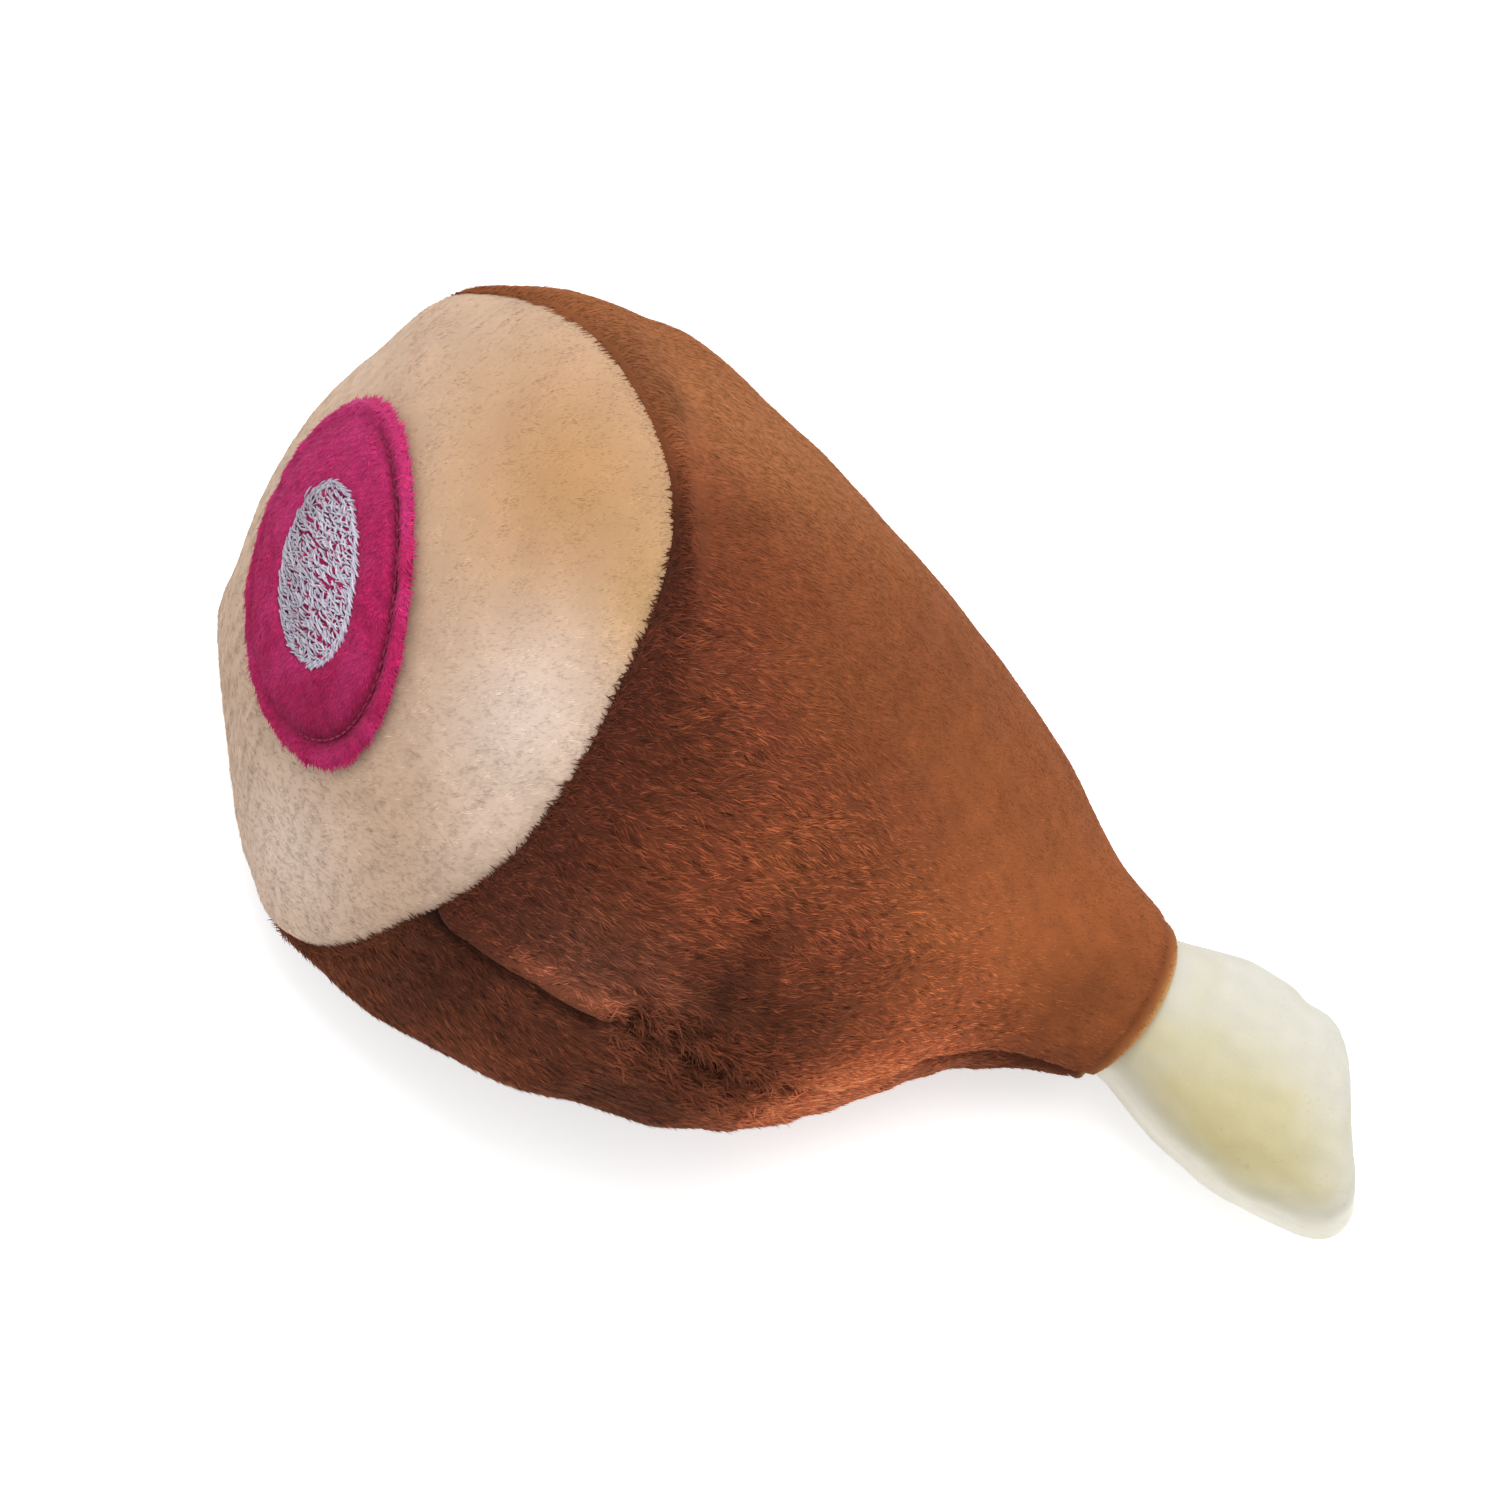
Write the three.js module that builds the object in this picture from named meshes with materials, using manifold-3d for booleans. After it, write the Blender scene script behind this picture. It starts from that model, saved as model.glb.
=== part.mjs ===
// A plush ham leg for a dog, lying on its belly with its cut face turned up.
// Millimetres, +Z up, +X from the cut face to the bone. Every piece is a separate closed mesh.
import * as THREE from "three";
import { mergeVertices } from "three/addons/utils/BufferGeometryUtils.js";
import Module from "manifold-3d";

const wasm = await Module();
wasm.setup();

// Cut face: a plush disc stuffed into a cap of a sphere, seen from the middle of its seam.
const domeRadius = 69.8;
const domeCentreDepth = 47;
const domeCrown = 1.6;
const domeCrownTurn = -50;
const faceYaw = 25;
const facePitch = 38;
const faceSeamAngle = 45;
// The seam's angle from the dome's axis, every 30 degrees round the face.
const faceSeamShares = [0.978, 0.976, 1.024, 1.084, 1.038, 0.944, 0.904, 0.964, 1.022, 1.044, 1.033, 1.0];

// Leg: sections from behind the face to the neck. Places are shares of the leg's length, half widths
// are shares of the body's half width, and half heights are shares of its half height.
const legLength = 110;
const bodyHalfWidth = 50;
const bodyHalfHeight = 45;
const faceBulge = 11;
const neckRadius = 12.3;
const neckYaw = -6;
const neckPitch = 9;
// In each row: along, across, drop, half width left and right, half height up and down.
const bodySectionShares = [
  [0.164, -0.018, 0.018, 1.12, 1.096, 1.067, 0.986],
  [0.364, -0.027, 0.045, 1.04, 0.984, 0.933, 0.85],
  [0.564, -0.036, 0.091, 0.85, 0.84, 0.756, 0.705],
  [0.727, -0.036, 0.136, 0.63, 0.586, 0.556, 0.511],
  [0.845, -0.027, 0.173, 0.426, 0.36, 0.378, 0.356],
];
// Yaw and pitch of each section, in degrees.
const bodySectionAngles = [[20, 28], [12, 18], [5, 12], [0, 10], [-3, 9]];
const neckPlaceShares = [0.979, -0.02, 0.209];

// Bone: sections past the neck's pivot, as shares of the bone's length, half width and half height.
const boneLength = 32;
const boneHalfWidth = 15;
const boneHalfHeight = 12;
const boneEndRounding = 6;
// In each row: along, across, drop, half width left and right, half height up and down.
const boneSectionShares = [
  [0.353, -0.051, 0.04, 0.95, 1.0, 0.983, 0.958],
  [0.622, -0.095, 0.065, 1.07, 1.11, 1.0, 0.983],
  [0.806, -0.132, 0.07, 1.12, 1.06, 0.967, 0.933],
];
// Yaw and pitch of each section, in degrees.
const boneSectionAngles = [[0, 8], [12, 6], [26, 5]];
// The bone starts as a ball that fills the neck's opening. Angles are degrees behind the ball's middle.
const neckRimAngle = 19;
const neckBallOpening = 60;

// Cloth, seams and clearances.
const clothThickness = 1.6;
const boneClothThickness = 1.2;
const clearance = 0.3;
const seamGap = 0.3;
const seamAllowance = 5;
const allowanceThickness = 0.8;
const seamPocket = 1.3;
const seamPocketDepth = 2.2;
const threadRadius = 0.3;
const seamThreadDepth = 3.3;
const closingZigzag = 1.2;
const neckThreadBack = 3;
const neckThreadRadius = 9.8;
// The floor presses the soft skin up by this much, easing in over the next length, and cuts it flat.
const floorPress = 2.6;
const floorEasing = 1.5;
const restingCut = 0.5;
// Where the two brown panels meet, in degrees round the face from its level axis.
const panelSeamTurn = 167;

// Patch and embroidery, measured over the dome from its top: along the level axis, then up the face.
const patchPlace = [1.5, 4.5];
const patchHalf = [27.5, 18.3];
const patchThickness = 1.7;
const patchRecess = 0.5;
const patchGrooveDepth = 1.1;
const patchEdgeDrop = 0.7;
const stitchRadius = 0.35;
const markPlace = [0.8, 5.3];
const markHalf = [13.9, 8.9];
const markThickness = 0.8;
const backingHalf = [17, 12.5];
const backingThickness = 0.5;

// Squeaker: a soft bulb with a whistle in its mouth, standing upright in the filling.
const squeakerPlaceShares = [0.2, -0.018, 0.11];
const bulbRadius = 18;
const bulbHeight = 22;
const bulbWall = 1;
const bulbRounding = 9;
const bulbMouthRadius = 4.9;
const whistleRadius = 4.6;
const whistleBore = 3;
const whistleLength = 11;
const whistleFlangeRadius = 6.4;
const whistleFlangeThickness = 1.4;
const capThickness = 1.2;
const capBore = 1.6;
const tongueWidth = 3.6;
const tongueThickness = 1.2;
const tongueLength = 7;
const reedWidth = 3.4;
const reedThickness = 0.3;
const reedLength = 8;

// Places and counts along the surfaces.
const bodyRowShares = [
  0, 0.03, 0.07, 0.12, 0.18, 0.25, 0.32, 0.39, 0.46, 0.53, 0.6, 0.67, 0.74, 0.8, 0.86, 0.9, 0.95, 1,
];
const domeRowShares = [0, 0.15, 0.3, 0.45, 0.6, 0.73, 0.86, 1];
const patchGrooveShares = [0.8, 0.82, 0.91, 0.93];
const ovalRowShares = [0, 0.33, 0.67, 1];
const panelColumns = 16;
const faceColumns = 32;
const fillingEndShare = 0.9;
const fillingRowShares = [0.86, 0.18];
const allowanceShares = [0.03, 0.12, 0.7, 0.88];
const seamRunShares = [0.1, 0.34, 0.54, 0.8];
const closingShares = [0.36, 0.52];
const closingSteps = 12;
const seamRows = 8;
const boneThreadSteps = 36;
const boneRows = 6;
const boneThreadStartRow = 2;
const ballRowShares = [1, 0.667, 0.333];
const capAngles = [30, 60, 90];
const seamColumns = 2;
const turnedSides = 24;
const ballSides = 20;
const threadSides = 6;
const boxReach = 400;
const nudge = 1e-4;

const radians = THREE.MathUtils.degToRad;

// The neck's ball lies a clearance inside the neck's rim, which it meets behind its middle.
const neckHoleRadius = neckRadius - clothThickness - clearance;
const neckBallRadius = neckHoleRadius / Math.cos(radians(neckRimAngle));
const neckPivotOut = neckHoleRadius * Math.tan(radians(neckRimAngle));

// The three directions of a cross-section: out of its face, level across it, and up it.
function directions(yaw, pitch) {
  const y = radians(yaw);
  const p = radians(pitch);
  return {
    face: new THREE.Vector3(-Math.cos(p) * Math.cos(y), -Math.cos(p) * Math.sin(y), Math.sin(p)),
    level: new THREE.Vector3(-Math.sin(y), Math.cos(y), 0),
    up: new THREE.Vector3(Math.sin(p) * Math.cos(y), Math.sin(p) * Math.sin(y), Math.cos(p)),
  };
}

// A smooth curve through four values, at share f between the second and the third.
function smoothStep4(a, b, c, d, f) {
  const f2 = f * f;
  const f3 = f2 * f;
  return 0.5 * (2 * b + (c - a) * f + (2 * a - 5 * b + 4 * c - d) * f2 + (3 * b - a - 3 * c + d) * f3);
}

function smoothPoint(a, b, c, d, f) {
  return new THREE.Vector3(
    smoothStep4(a.x, b.x, c.x, d.x, f),
    smoothStep4(a.y, b.y, c.y, d.y, f),
    smoothStep4(a.z, b.z, c.z, d.z, f),
  );
}

// A closed table of values, read smoothly at any turn.
function roundTable(values, turn) {
  const count = values.length;
  const place = (((turn / (2 * Math.PI)) * count) % count + count) % count;
  const i = Math.floor(place);
  const at = (k) => values[(k + count) % count];
  return smoothStep4(at(i - 1), at(i), at(i + 1), at(i + 2), place - i);
}

const faceFrame = directions(faceYaw, facePitch);
const domeCentre = faceFrame.face.clone().multiplyScalar(-domeCentreDepth);

function seamAngle(turn) {
  return radians(faceSeamAngle) * roundTable(faceSeamShares, turn);
}

function domeDirection(angle, turn) {
  return faceFrame.face
    .clone()
    .multiplyScalar(Math.cos(angle))
    .addScaledVector(faceFrame.level, Math.sin(angle) * Math.cos(turn))
    .addScaledVector(faceFrame.up, Math.sin(angle) * Math.sin(turn));
}

// A point of the dome off the floor: angle from its axis, turn round it, and lift off its surface.
function freeDomePoint(angle, turn, lift) {
  const share = Math.min(angle / seamAngle(turn), 1);
  const lean = 0.5 + 0.5 * share * Math.cos(turn - radians(domeCrownTurn));
  const crown = domeCrown * (1 - share ** 6) * lean;
  return domeCentre.clone().addScaledVector(domeDirection(angle, turn), domeRadius + crown + lift);
}

// The same point with the toy lying on the floor.
function domePoint(angle, turn, lift) {
  return pressed(freeDomePoint(angle, turn, lift), lift);
}

// The floor pushes up what would lie below it, by less and less with the height above it.
function pressed(point, lift) {
  const height = point.z - floorLevel - lift;
  const eased = (height + Math.hypot(height, floorEasing)) / 2;
  point.z += eased - height;
  return point;
}

// A point of the dome by its distances from the top, along the level axis and up the face.
function domePlace(x, y, lift) {
  return domePoint(Math.hypot(x, y) / domeRadius, Math.atan2(y, x), lift);
}

// An oval on the dome: share of its half sizes, turn, lift and centre.
function ovalPoint([x, y], [halfLength, halfHeight], share, turn, lift) {
  return domePlace(x + halfLength * share * Math.cos(turn), y + halfHeight * share * Math.sin(turn), lift);
}

function seamPoint(turn) {
  return domePoint(seamAngle(turn), turn, 0);
}

// A section made of four quarter ellipses.
function sectionPoint(section, turn) {
  const frame = directions(section.yaw, section.pitch);
  const c = Math.cos(turn);
  const s = Math.sin(turn);
  return section.centre
    .clone()
    .addScaledVector(frame.level, c * (c > 0 ? section.left : section.right))
    .addScaledVector(frame.up, s * (s > 0 ? section.up : section.down));
}

// A place given as shares of a length: along the leg, across it, and down.
function placeAt(length, [along, across, drop]) {
  return new THREE.Vector3(along, across, -drop).multiplyScalar(length);
}

const neckFrame = directions(neckYaw, neckPitch);
const neckCentre = placeAt(legLength, neckPlaceShares);
const neckOut = neckFrame.face.clone().negate();
const neckPivot = neckCentre.clone().addScaledVector(neckOut, neckPivotOut);

function roundSection(centre, yaw, pitch, radius) {
  return { centre, yaw, pitch, left: radius, right: radius, up: radius, down: radius };
}

function sectionsFrom(shares, angles, origin, length, halfWidth, halfHeight) {
  return shares.map(([along, across, drop, left, right, up, down], i) => ({
    centre: placeAt(length, [along, across, drop]).add(origin),
    yaw: angles[i][0],
    pitch: angles[i][1],
    left: halfWidth * left,
    right: halfWidth * right,
    up: halfHeight * up,
    down: halfHeight * down,
  }));
}

const start = new THREE.Vector3();
const bodySections = [
  ...sectionsFrom(bodySectionShares, bodySectionAngles, start, legLength, bodyHalfWidth, bodyHalfHeight),
  roundSection(neckCentre, neckYaw, neckPitch, neckRadius),
];
const boneSections = [
  roundSection(neckPivot, neckYaw, neckPitch, neckBallRadius),
  ...sectionsFrom(boneSectionShares, boneSectionAngles, neckPivot, boneLength, boneHalfWidth, boneHalfHeight),
];

// A point of a skin that runs smoothly through a list of rings, at share t from the first to the last.
function throughRings(rings, first, t) {
  const last = rings.length - 1;
  const before = rings[last - 1];
  const after = rings[last].clone().multiplyScalar(2).sub(before);
  const list = [first, ...rings, after];
  const i = Math.min(Math.floor(t * last), last - 1);
  return smoothPoint(list[i], list[i + 1], list[i + 2], list[i + 3], t * last - i);
}

// The leg's outer skin off the floor, at share t from the face to the neck.
// It leaves the face with a bulge.
function freeBodyPoint(t, turn) {
  const rings = [freeDomePoint(seamAngle(turn), turn, 0), ...bodySections.map((s) => sectionPoint(s, turn))];
  const outward = faceFrame.level
    .clone()
    .multiplyScalar(Math.cos(turn))
    .addScaledVector(faceFrame.up, Math.sin(turn));
  const first = rings[0].clone().multiplyScalar(2).sub(rings[1]).addScaledVector(outward, -2 * faceBulge);
  return throughRings(rings, first, t);
}

function bodyPoint(t, turn) {
  return pressed(freeBodyPoint(t, turn), 0);
}

function bonePoint(t, turn) {
  const rings = boneSections.map((s) => sectionPoint(s, turn));
  const first = rings[0].clone().multiplyScalar(2).sub(rings[1]);
  return throughRings(rings, first, t);
}

function turnsFrom(start, span, steps) {
  return Array.from({ length: steps + 1 }, (_, j) => start + (span * j) / steps);
}

const seamTurn = radians(panelSeamTurn);
const faceTurns = turnsFrom(seamTurn, 2 * Math.PI, faceColumns).slice(0, faceColumns);

function lowestPoint(skin) {
  const heights = bodyRowShares.flatMap((t) => faceTurns.map((turn) => skin(t, turn).z));
  return Math.min(...heights);
}

const floorLevel = lowestPoint(freeBodyPoint) + floorPress;

function slope(at, value) {
  return at(value + nudge).sub(at(value - nudge)).normalize();
}

// Directions on the leg's skin: along it, round it, and into the stuffing. At the face's seam the way in
// is the mitre between the leg and the dome.
function bodyFrame(t, turn) {
  const low = Math.max(t - nudge, 0);
  const along = bodyPoint(low + nudge, turn).sub(bodyPoint(low, turn)).normalize();
  const round = slope((value) => bodyPoint(t, value), turn);
  const outward = round.clone().cross(along).normalize();
  const point = bodyPoint(t, turn);
  let inward = outward.clone().negate();
  if (t === 0) {
    inward = mitre(outward, turn);
    point.addScaledVector(along, seamGap / 2);
  }
  return { point, along, round, inward };
}

function mitre(bodyOutward, turn) {
  const domeOutward = domeDirection(seamAngle(turn), turn);
  const both = domeOutward.clone().add(bodyOutward);
  return both.multiplyScalar(-1 / (1 + domeOutward.dot(bodyOutward)));
}

function seamMitre(turn) {
  const along = bodyPoint(nudge, turn).sub(bodyPoint(0, turn)).normalize();
  const round = slope((value) => bodyPoint(0, value), turn);
  return mitre(round.cross(along).normalize(), turn);
}

// How deep the turned-in edges of the brown panels reach. They are trimmed short at both ends.
function allowanceAt(t) {
  const least = seamPocketDepth + clearance;
  const [opensFrom, opensBy, closesFrom, closesBy] = allowanceShares;
  const opening = THREE.MathUtils.smoothstep(t, opensFrom, opensBy);
  const closing = THREE.MathUtils.smoothstep(t, closesFrom, closesBy);
  return least + (seamAllowance - least) * opening * (1 - closing);
}

// Closed meshes.
function closedGeometry(points, triangles) {
  const flat = new Float32Array(points.length * 3);
  points.forEach((p, i) => p.toArray(flat, i * 3));
  const loose = new THREE.BufferGeometry();
  loose.setAttribute("position", new THREE.BufferAttribute(flat, 3));
  loose.setIndex(triangles.flat());
  const merged = mergeVertices(loose, nudge);
  const index = merged.index.array;
  const kept = [];
  for (let i = 0; i < index.length; i += 3) {
    const [a, b, c] = [index[i], index[i + 1], index[i + 2]];
    if (a !== b && b !== c && c !== a) kept.push([a, b, c]);
  }
  const position = merged.getAttribute("position");
  const corner = (i) => new THREE.Vector3().fromBufferAttribute(position, i);
  const volume = kept.reduce((sum, [a, b, c]) => sum + corner(a).dot(corner(b).cross(corner(c))), 0);
  merged.setIndex(kept.flatMap(([a, b, c]) => (volume < 0 ? [a, c, b] : [a, b, c])));
  return merged;
}

// The four corners of a cell of a grid, in order round it.
function gridCorners(row, column, nextColumn, columns) {
  const [here, below] = [row * columns, (row + 1) * columns];
  return [here + column, here + nextColumn, below + nextColumn, below + column];
}

// A sheet with two faces, given as two grids of points. A grid that wraps closes on itself sideways.
function sheetGeometry(front, back, wraps) {
  const rows = front.length;
  const columns = front[0].length;
  const points = [...front.flat(), ...back.flat()];
  const under = rows * columns;
  const triangles = [];
  const quad = (a, b, c, d) => triangles.push([a, b, c], [a, c, d]);
  const sideways = wraps ? columns : columns - 1;
  for (let i = 0; i < rows - 1; i += 1) {
    for (let j = 0; j < sideways; j += 1) {
      const next = (j + 1) % columns;
      const [a, b, c, d] = gridCorners(i, j, next, columns);
      quad(a, b, c, d);
      quad(under + d, under + c, under + b, under + a);
    }
  }
  for (let j = 0; j < sideways; j += 1) {
    const next = (j + 1) % columns;
    quad(j, under + j, under + next, next);
    const end = (rows - 1) * columns;
    quad(end + next, under + end + next, under + end + j, end + j);
  }
  if (!wraps) {
    for (let i = 0; i < rows - 1; i += 1) {
      const [a, b] = [i * columns, (i + 1) * columns];
      quad(a, b, under + b, under + a);
      quad(b + columns - 1, a + columns - 1, under + a + columns - 1, under + b + columns - 1);
    }
  }
  return closedGeometry(points, triangles);
}

// A solid made of rings, closed at both ends by fans.
function ringsGeometry(rings) {
  const columns = rings[0].length;
  const points = rings.flat();
  const triangles = [];
  for (let i = 0; i < rings.length - 1; i += 1) {
    for (let j = 0; j < columns; j += 1) {
      const next = (j + 1) % columns;
      const [a, b, c, d] = gridCorners(i, j, next, columns);
      triangles.push([a, b, c], [a, c, d]);
    }
  }
  const fan = (ring, reversed) => {
    const centre = ring.reduce((sum, p) => sum.add(p), new THREE.Vector3()).divideScalar(columns);
    const hub = points.push(centre) - 1;
    const start = rings.indexOf(ring) * columns;
    for (let j = 0; j < columns; j += 1) {
      const [a, b] = [start + j, start + ((j + 1) % columns)];
      triangles.push(reversed ? [hub, b, a] : [hub, a, b]);
    }
  };
  fan(rings[0], true);
  fan(rings[rings.length - 1], false);
  return closedGeometry(points, triangles);
}

// A thread along a curve: closed loops are a wrapped ring of sections, open runs are extruded.
function threadGeometry(points, radius, steps, closed) {
  const curve = new THREE.CatmullRomCurve3(points, closed);
  if (!closed) {
    const section = new THREE.Shape();
    section.absarc(0, 0, radius, 0, 2 * Math.PI);
    return new THREE.ExtrudeGeometry(section, {
      steps,
      curveSegments: threadSides / 2,
      bevelEnabled: false,
      extrudePath: curve,
    });
  }
  const frames = curve.computeFrenetFrames(steps, true);
  const rows = [];
  for (let i = 0; i <= steps; i += 1) {
    const centre = curve.getPointAt((i % steps) / steps);
    const [n, b] = [frames.normals[i % steps], frames.binormals[i % steps]];
    rows.push(
      Array.from({ length: threadSides }, (_, j) => {
        const a = (j / threadSides) * 2 * Math.PI;
        const [outward, sideways] = [radius * Math.cos(a), radius * Math.sin(a)];
        return centre.clone().addScaledVector(n, outward).addScaledVector(b, sideways);
      }),
    );
  }
  const loop = rows.slice(0, steps);
  const list = loop.flat();
  const triangles = [];
  for (let i = 0; i < steps; i += 1) {
    for (let j = 0; j < threadSides; j += 1) {
      const [i2, j2] = [(i + 1) % steps, (j + 1) % threadSides];
      const [a, b] = [i * threadSides + j, i * threadSides + j2];
      const [c, d] = [i2 * threadSides + j2, i2 * threadSides + j];
      triangles.push([a, b, c], [a, c, d]);
    }
  }
  return closedGeometry(list, triangles);
}

// Cuts and joins.
function toSolid(geometry) {
  const bare = geometry.clone();
  bare.deleteAttribute("normal");
  bare.deleteAttribute("uv");
  const merged = mergeVertices(bare, nudge);
  return new wasm.Manifold(
    new wasm.Mesh({
      numProp: 3,
      vertProperties: new Float32Array(merged.getAttribute("position").array),
      triVerts: new Uint32Array(merged.index.array),
    }),
  );
}

function toGeometry(solid) {
  const mesh = solid.getMesh();
  const geometry = new THREE.BufferGeometry();
  geometry.setAttribute("position", new THREE.BufferAttribute(new Float32Array(mesh.vertProperties), 3));
  geometry.setIndex(new THREE.BufferAttribute(new Uint32Array(mesh.triVerts), 1));
  return geometry;
}

// A block that fills one side of a plane, given by a point on it and the direction to its filled side.
function halfSpace(point, direction) {
  const block = new THREE.BoxGeometry(boxReach, boxReach, boxReach);
  block.translate(0, 0, boxReach / 2);
  block.applyQuaternion(new THREE.Quaternion().setFromUnitVectors(new THREE.Vector3(0, 0, 1), direction));
  block.translate(point.x, point.y, point.z);
  return toSolid(block);
}

// End disc: the dome's two faces, then its edge turned in along the seam's mitre.
function endDisc() {
  const towardTop = (turn) => slope((value) => domePoint(value, turn, 0), seamAngle(turn) - nudge).negate();
  const edge = (turn, depth, aside) =>
    seamPoint(turn)
      .addScaledVector(seamMitre(turn), depth)
      .addScaledVector(towardTop(turn), seamGap / 2 + aside);
  const front = domeRowShares.map((share) =>
    faceTurns.map((turn) => (share === 1 ? edge(turn, 0, 0) : domePoint(share * seamAngle(turn), turn, 0))),
  );
  const back = domeRowShares.map((share) =>
    faceTurns.map((turn) =>
      share === 1
        ? edge(turn, clothThickness, allowanceThickness)
        : domePoint(share * seamAngle(turn), turn, -clothThickness),
    ),
  );
  front.push(faceTurns.map((turn) => edge(turn, seamAllowance, 0)));
  back.push(faceTurns.map((turn) => edge(turn, seamAllowance, allowanceThickness)));
  return sheetGeometry(front, back, true);
}

// One brown panel: half of the leg's skin, with a turned-in allowance along both of its seams.
function panelRow(t, start) {
  const front = [];
  const back = [];
  const turns = turnsFrom(start, Math.PI, panelColumns);
  const edge = (turn, inner) => {
    const frame = bodyFrame(t, turn);
    const at = (depth, aside) =>
      frame.point.clone().addScaledVector(frame.inward, depth).addScaledVector(frame.round, inner * aside);
    const inside = seamPocket / 2 + allowanceThickness;
    return [
      [at(allowanceAt(t), seamPocket / 2), at(allowanceAt(t), inside)],
      [at(seamPocketDepth, seamPocket / 2), at(seamPocketDepth, inside)],
      [at(clothThickness, seamGap / 2), at(clothThickness, inside)],
      [at(0, seamGap / 2), at(clothThickness, inside)],
    ];
  };
  edge(turns[0], 1).forEach(([a, b]) => {
    front.push(a);
    back.push(b);
  });
  turns.slice(1, panelColumns).forEach((turn) => {
    const frame = bodyFrame(t, turn);
    front.push(frame.point.clone());
    back.push(frame.point.clone().addScaledVector(frame.inward, clothThickness));
  });
  edge(turns[panelColumns], -1)
    .reverse()
    .forEach(([a, b]) => {
      front.push(a);
      back.push(b);
    });
  return { front, back };
}

function bodyPanel(start) {
  const rows = bodyRowShares.map((t) => panelRow(t, start));
  return sheetGeometry(
    rows.map((row) => row.front),
    rows.map((row) => row.back),
    false,
  );
}

const restingHeight = lowestPoint(bodyPoint) + restingCut;
const aboveRest = halfSpace(new THREE.Vector3(0, 0, restingHeight), new THREE.Vector3(0, 0, 1));

// Filling: follows the skin at a clearance, and keeps clear of the turned-in seams.
function fillingRing(t) {
  const half = bodyPoint(t, seamTurn).distanceTo(bodyPoint(t, seamTurn + Math.PI)) / 2;
  const aside = Math.asin(Math.min((seamPocket / 2 + allowanceThickness + 2 * clearance) / half, 1));
  const depthAt = (grooved) => (grooved ? allowanceAt(t) + clearance : clothThickness + 2 * clearance);
  const ring = [];
  [seamTurn, seamTurn + Math.PI].forEach((seam) => {
    turnsFrom(seam, Math.PI, panelColumns).forEach((turn, j) => {
      const grooved = j === 0 || j === panelColumns;
      const shift = j === 0 ? aside : j === panelColumns ? -aside : 0;
      const frame = bodyFrame(t, turn + shift);
      const depth = t === 0 ? seamAllowance + 2 * allowanceThickness : depthAt(grooved);
      ring.push(frame.point.addScaledVector(frame.inward, depth));
    });
  });
  return ring;
}

function domeFillingRing(share) {
  const depth = clothThickness + backingThickness + 2 * clearance;
  const aside = seamPocket / (2 * bodyHalfWidth);
  return [seamTurn, seamTurn + Math.PI].flatMap((seam) =>
    turnsFrom(seam, Math.PI, panelColumns).map((turn, j) => {
      const shift = j === 0 ? aside : j === panelColumns ? -aside : 0;
      return domePoint(share * seamAngle(turn + shift), turn + shift, -depth);
    }),
  );
}

function wholeFilling() {
  const [lastOnDome, firstOnLeg] = fillingRowShares;
  const dome = domeRowShares.filter((share) => share <= lastOnDome).map(domeFillingRing);
  const body = bodyRowShares
    .filter((t) => t === 0 || (t >= firstOnLeg && t <= fillingEndShare))
    .map(fillingRing);
  return toSolid(ringsGeometry([...dome, ...body]));
}

// Squeaker pieces, turned about an upright axis from the bulb's base.
function turned(profile) {
  const points = profile.map(([radius, height]) => new THREE.Vector2(radius, height));
  const geometry = new THREE.LatheGeometry(points, turnedSides);
  geometry.rotateX(Math.PI / 2);
  return closedFrom(geometry);
}

// The same geometry with shared corners merged and its faces pointing out.
function closedFrom(geometry) {
  const bare = geometry.clone();
  bare.deleteAttribute("normal");
  bare.deleteAttribute("uv");
  const merged = mergeVertices(bare, nudge);
  const position = merged.getAttribute("position");
  const points = Array.from({ length: position.count }, (_, i) =>
    new THREE.Vector3().fromBufferAttribute(position, i),
  );
  const triangles = [];
  for (let i = 0; i < merged.index.count; i += 3) {
    triangles.push([merged.index.getX(i), merged.index.getX(i + 1), merged.index.getX(i + 2)]);
  }
  return closedGeometry(points, triangles);
}

// The bulb's outline from its base to its mouth, drawn in by an offset.
function bulbOutline(offset) {
  const radius = bulbRadius - offset;
  const top = bulbHeight - offset;
  const rounding = bulbRounding - offset;
  const corner = (centreHeight, from, to) =>
    [0, 1 / 3, 2 / 3, 1].map((f) => {
      const a = radians(from + (to - from) * f);
      return [radius - rounding + rounding * Math.cos(a), centreHeight + rounding * Math.sin(a)];
    });
  return [...corner(offset + rounding, -90, 0), ...corner(top - rounding, 0, 90)];
}

function squeakerBulb() {
  const mouth = [bulbMouthRadius, bulbHeight];
  const mouthInside = [bulbMouthRadius, bulbHeight - bulbWall];
  const outer = [[0, 0], ...bulbOutline(0), mouth];
  const inner = [mouthInside, ...bulbOutline(bulbWall).reverse(), [0, bulbWall]];
  return turned([...outer, ...inner]);
}

function squeakerPocket() {
  const top = bulbHeight + 2 * clearance + whistleFlangeThickness + capThickness;
  const outline = bulbOutline(-clearance);
  return turned([
    [0, -clearance],
    ...outline,
    [whistleFlangeRadius + clearance, bulbHeight + clearance],
    [whistleFlangeRadius + clearance, top + clearance],
    [0, top + clearance],
  ]);
}

const whistleSeat = bulbHeight + clearance;
const whistleTop = whistleSeat + whistleFlangeThickness;

function squeakerWhistle() {
  return turned([
    [whistleBore, whistleTop - whistleLength],
    [whistleRadius, whistleTop - whistleLength],
    [whistleRadius, whistleSeat],
    [whistleFlangeRadius, whistleSeat],
    [whistleFlangeRadius, whistleTop],
    [whistleBore, whistleTop],
    [whistleBore, whistleTop - whistleLength],
  ]);
}

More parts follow.
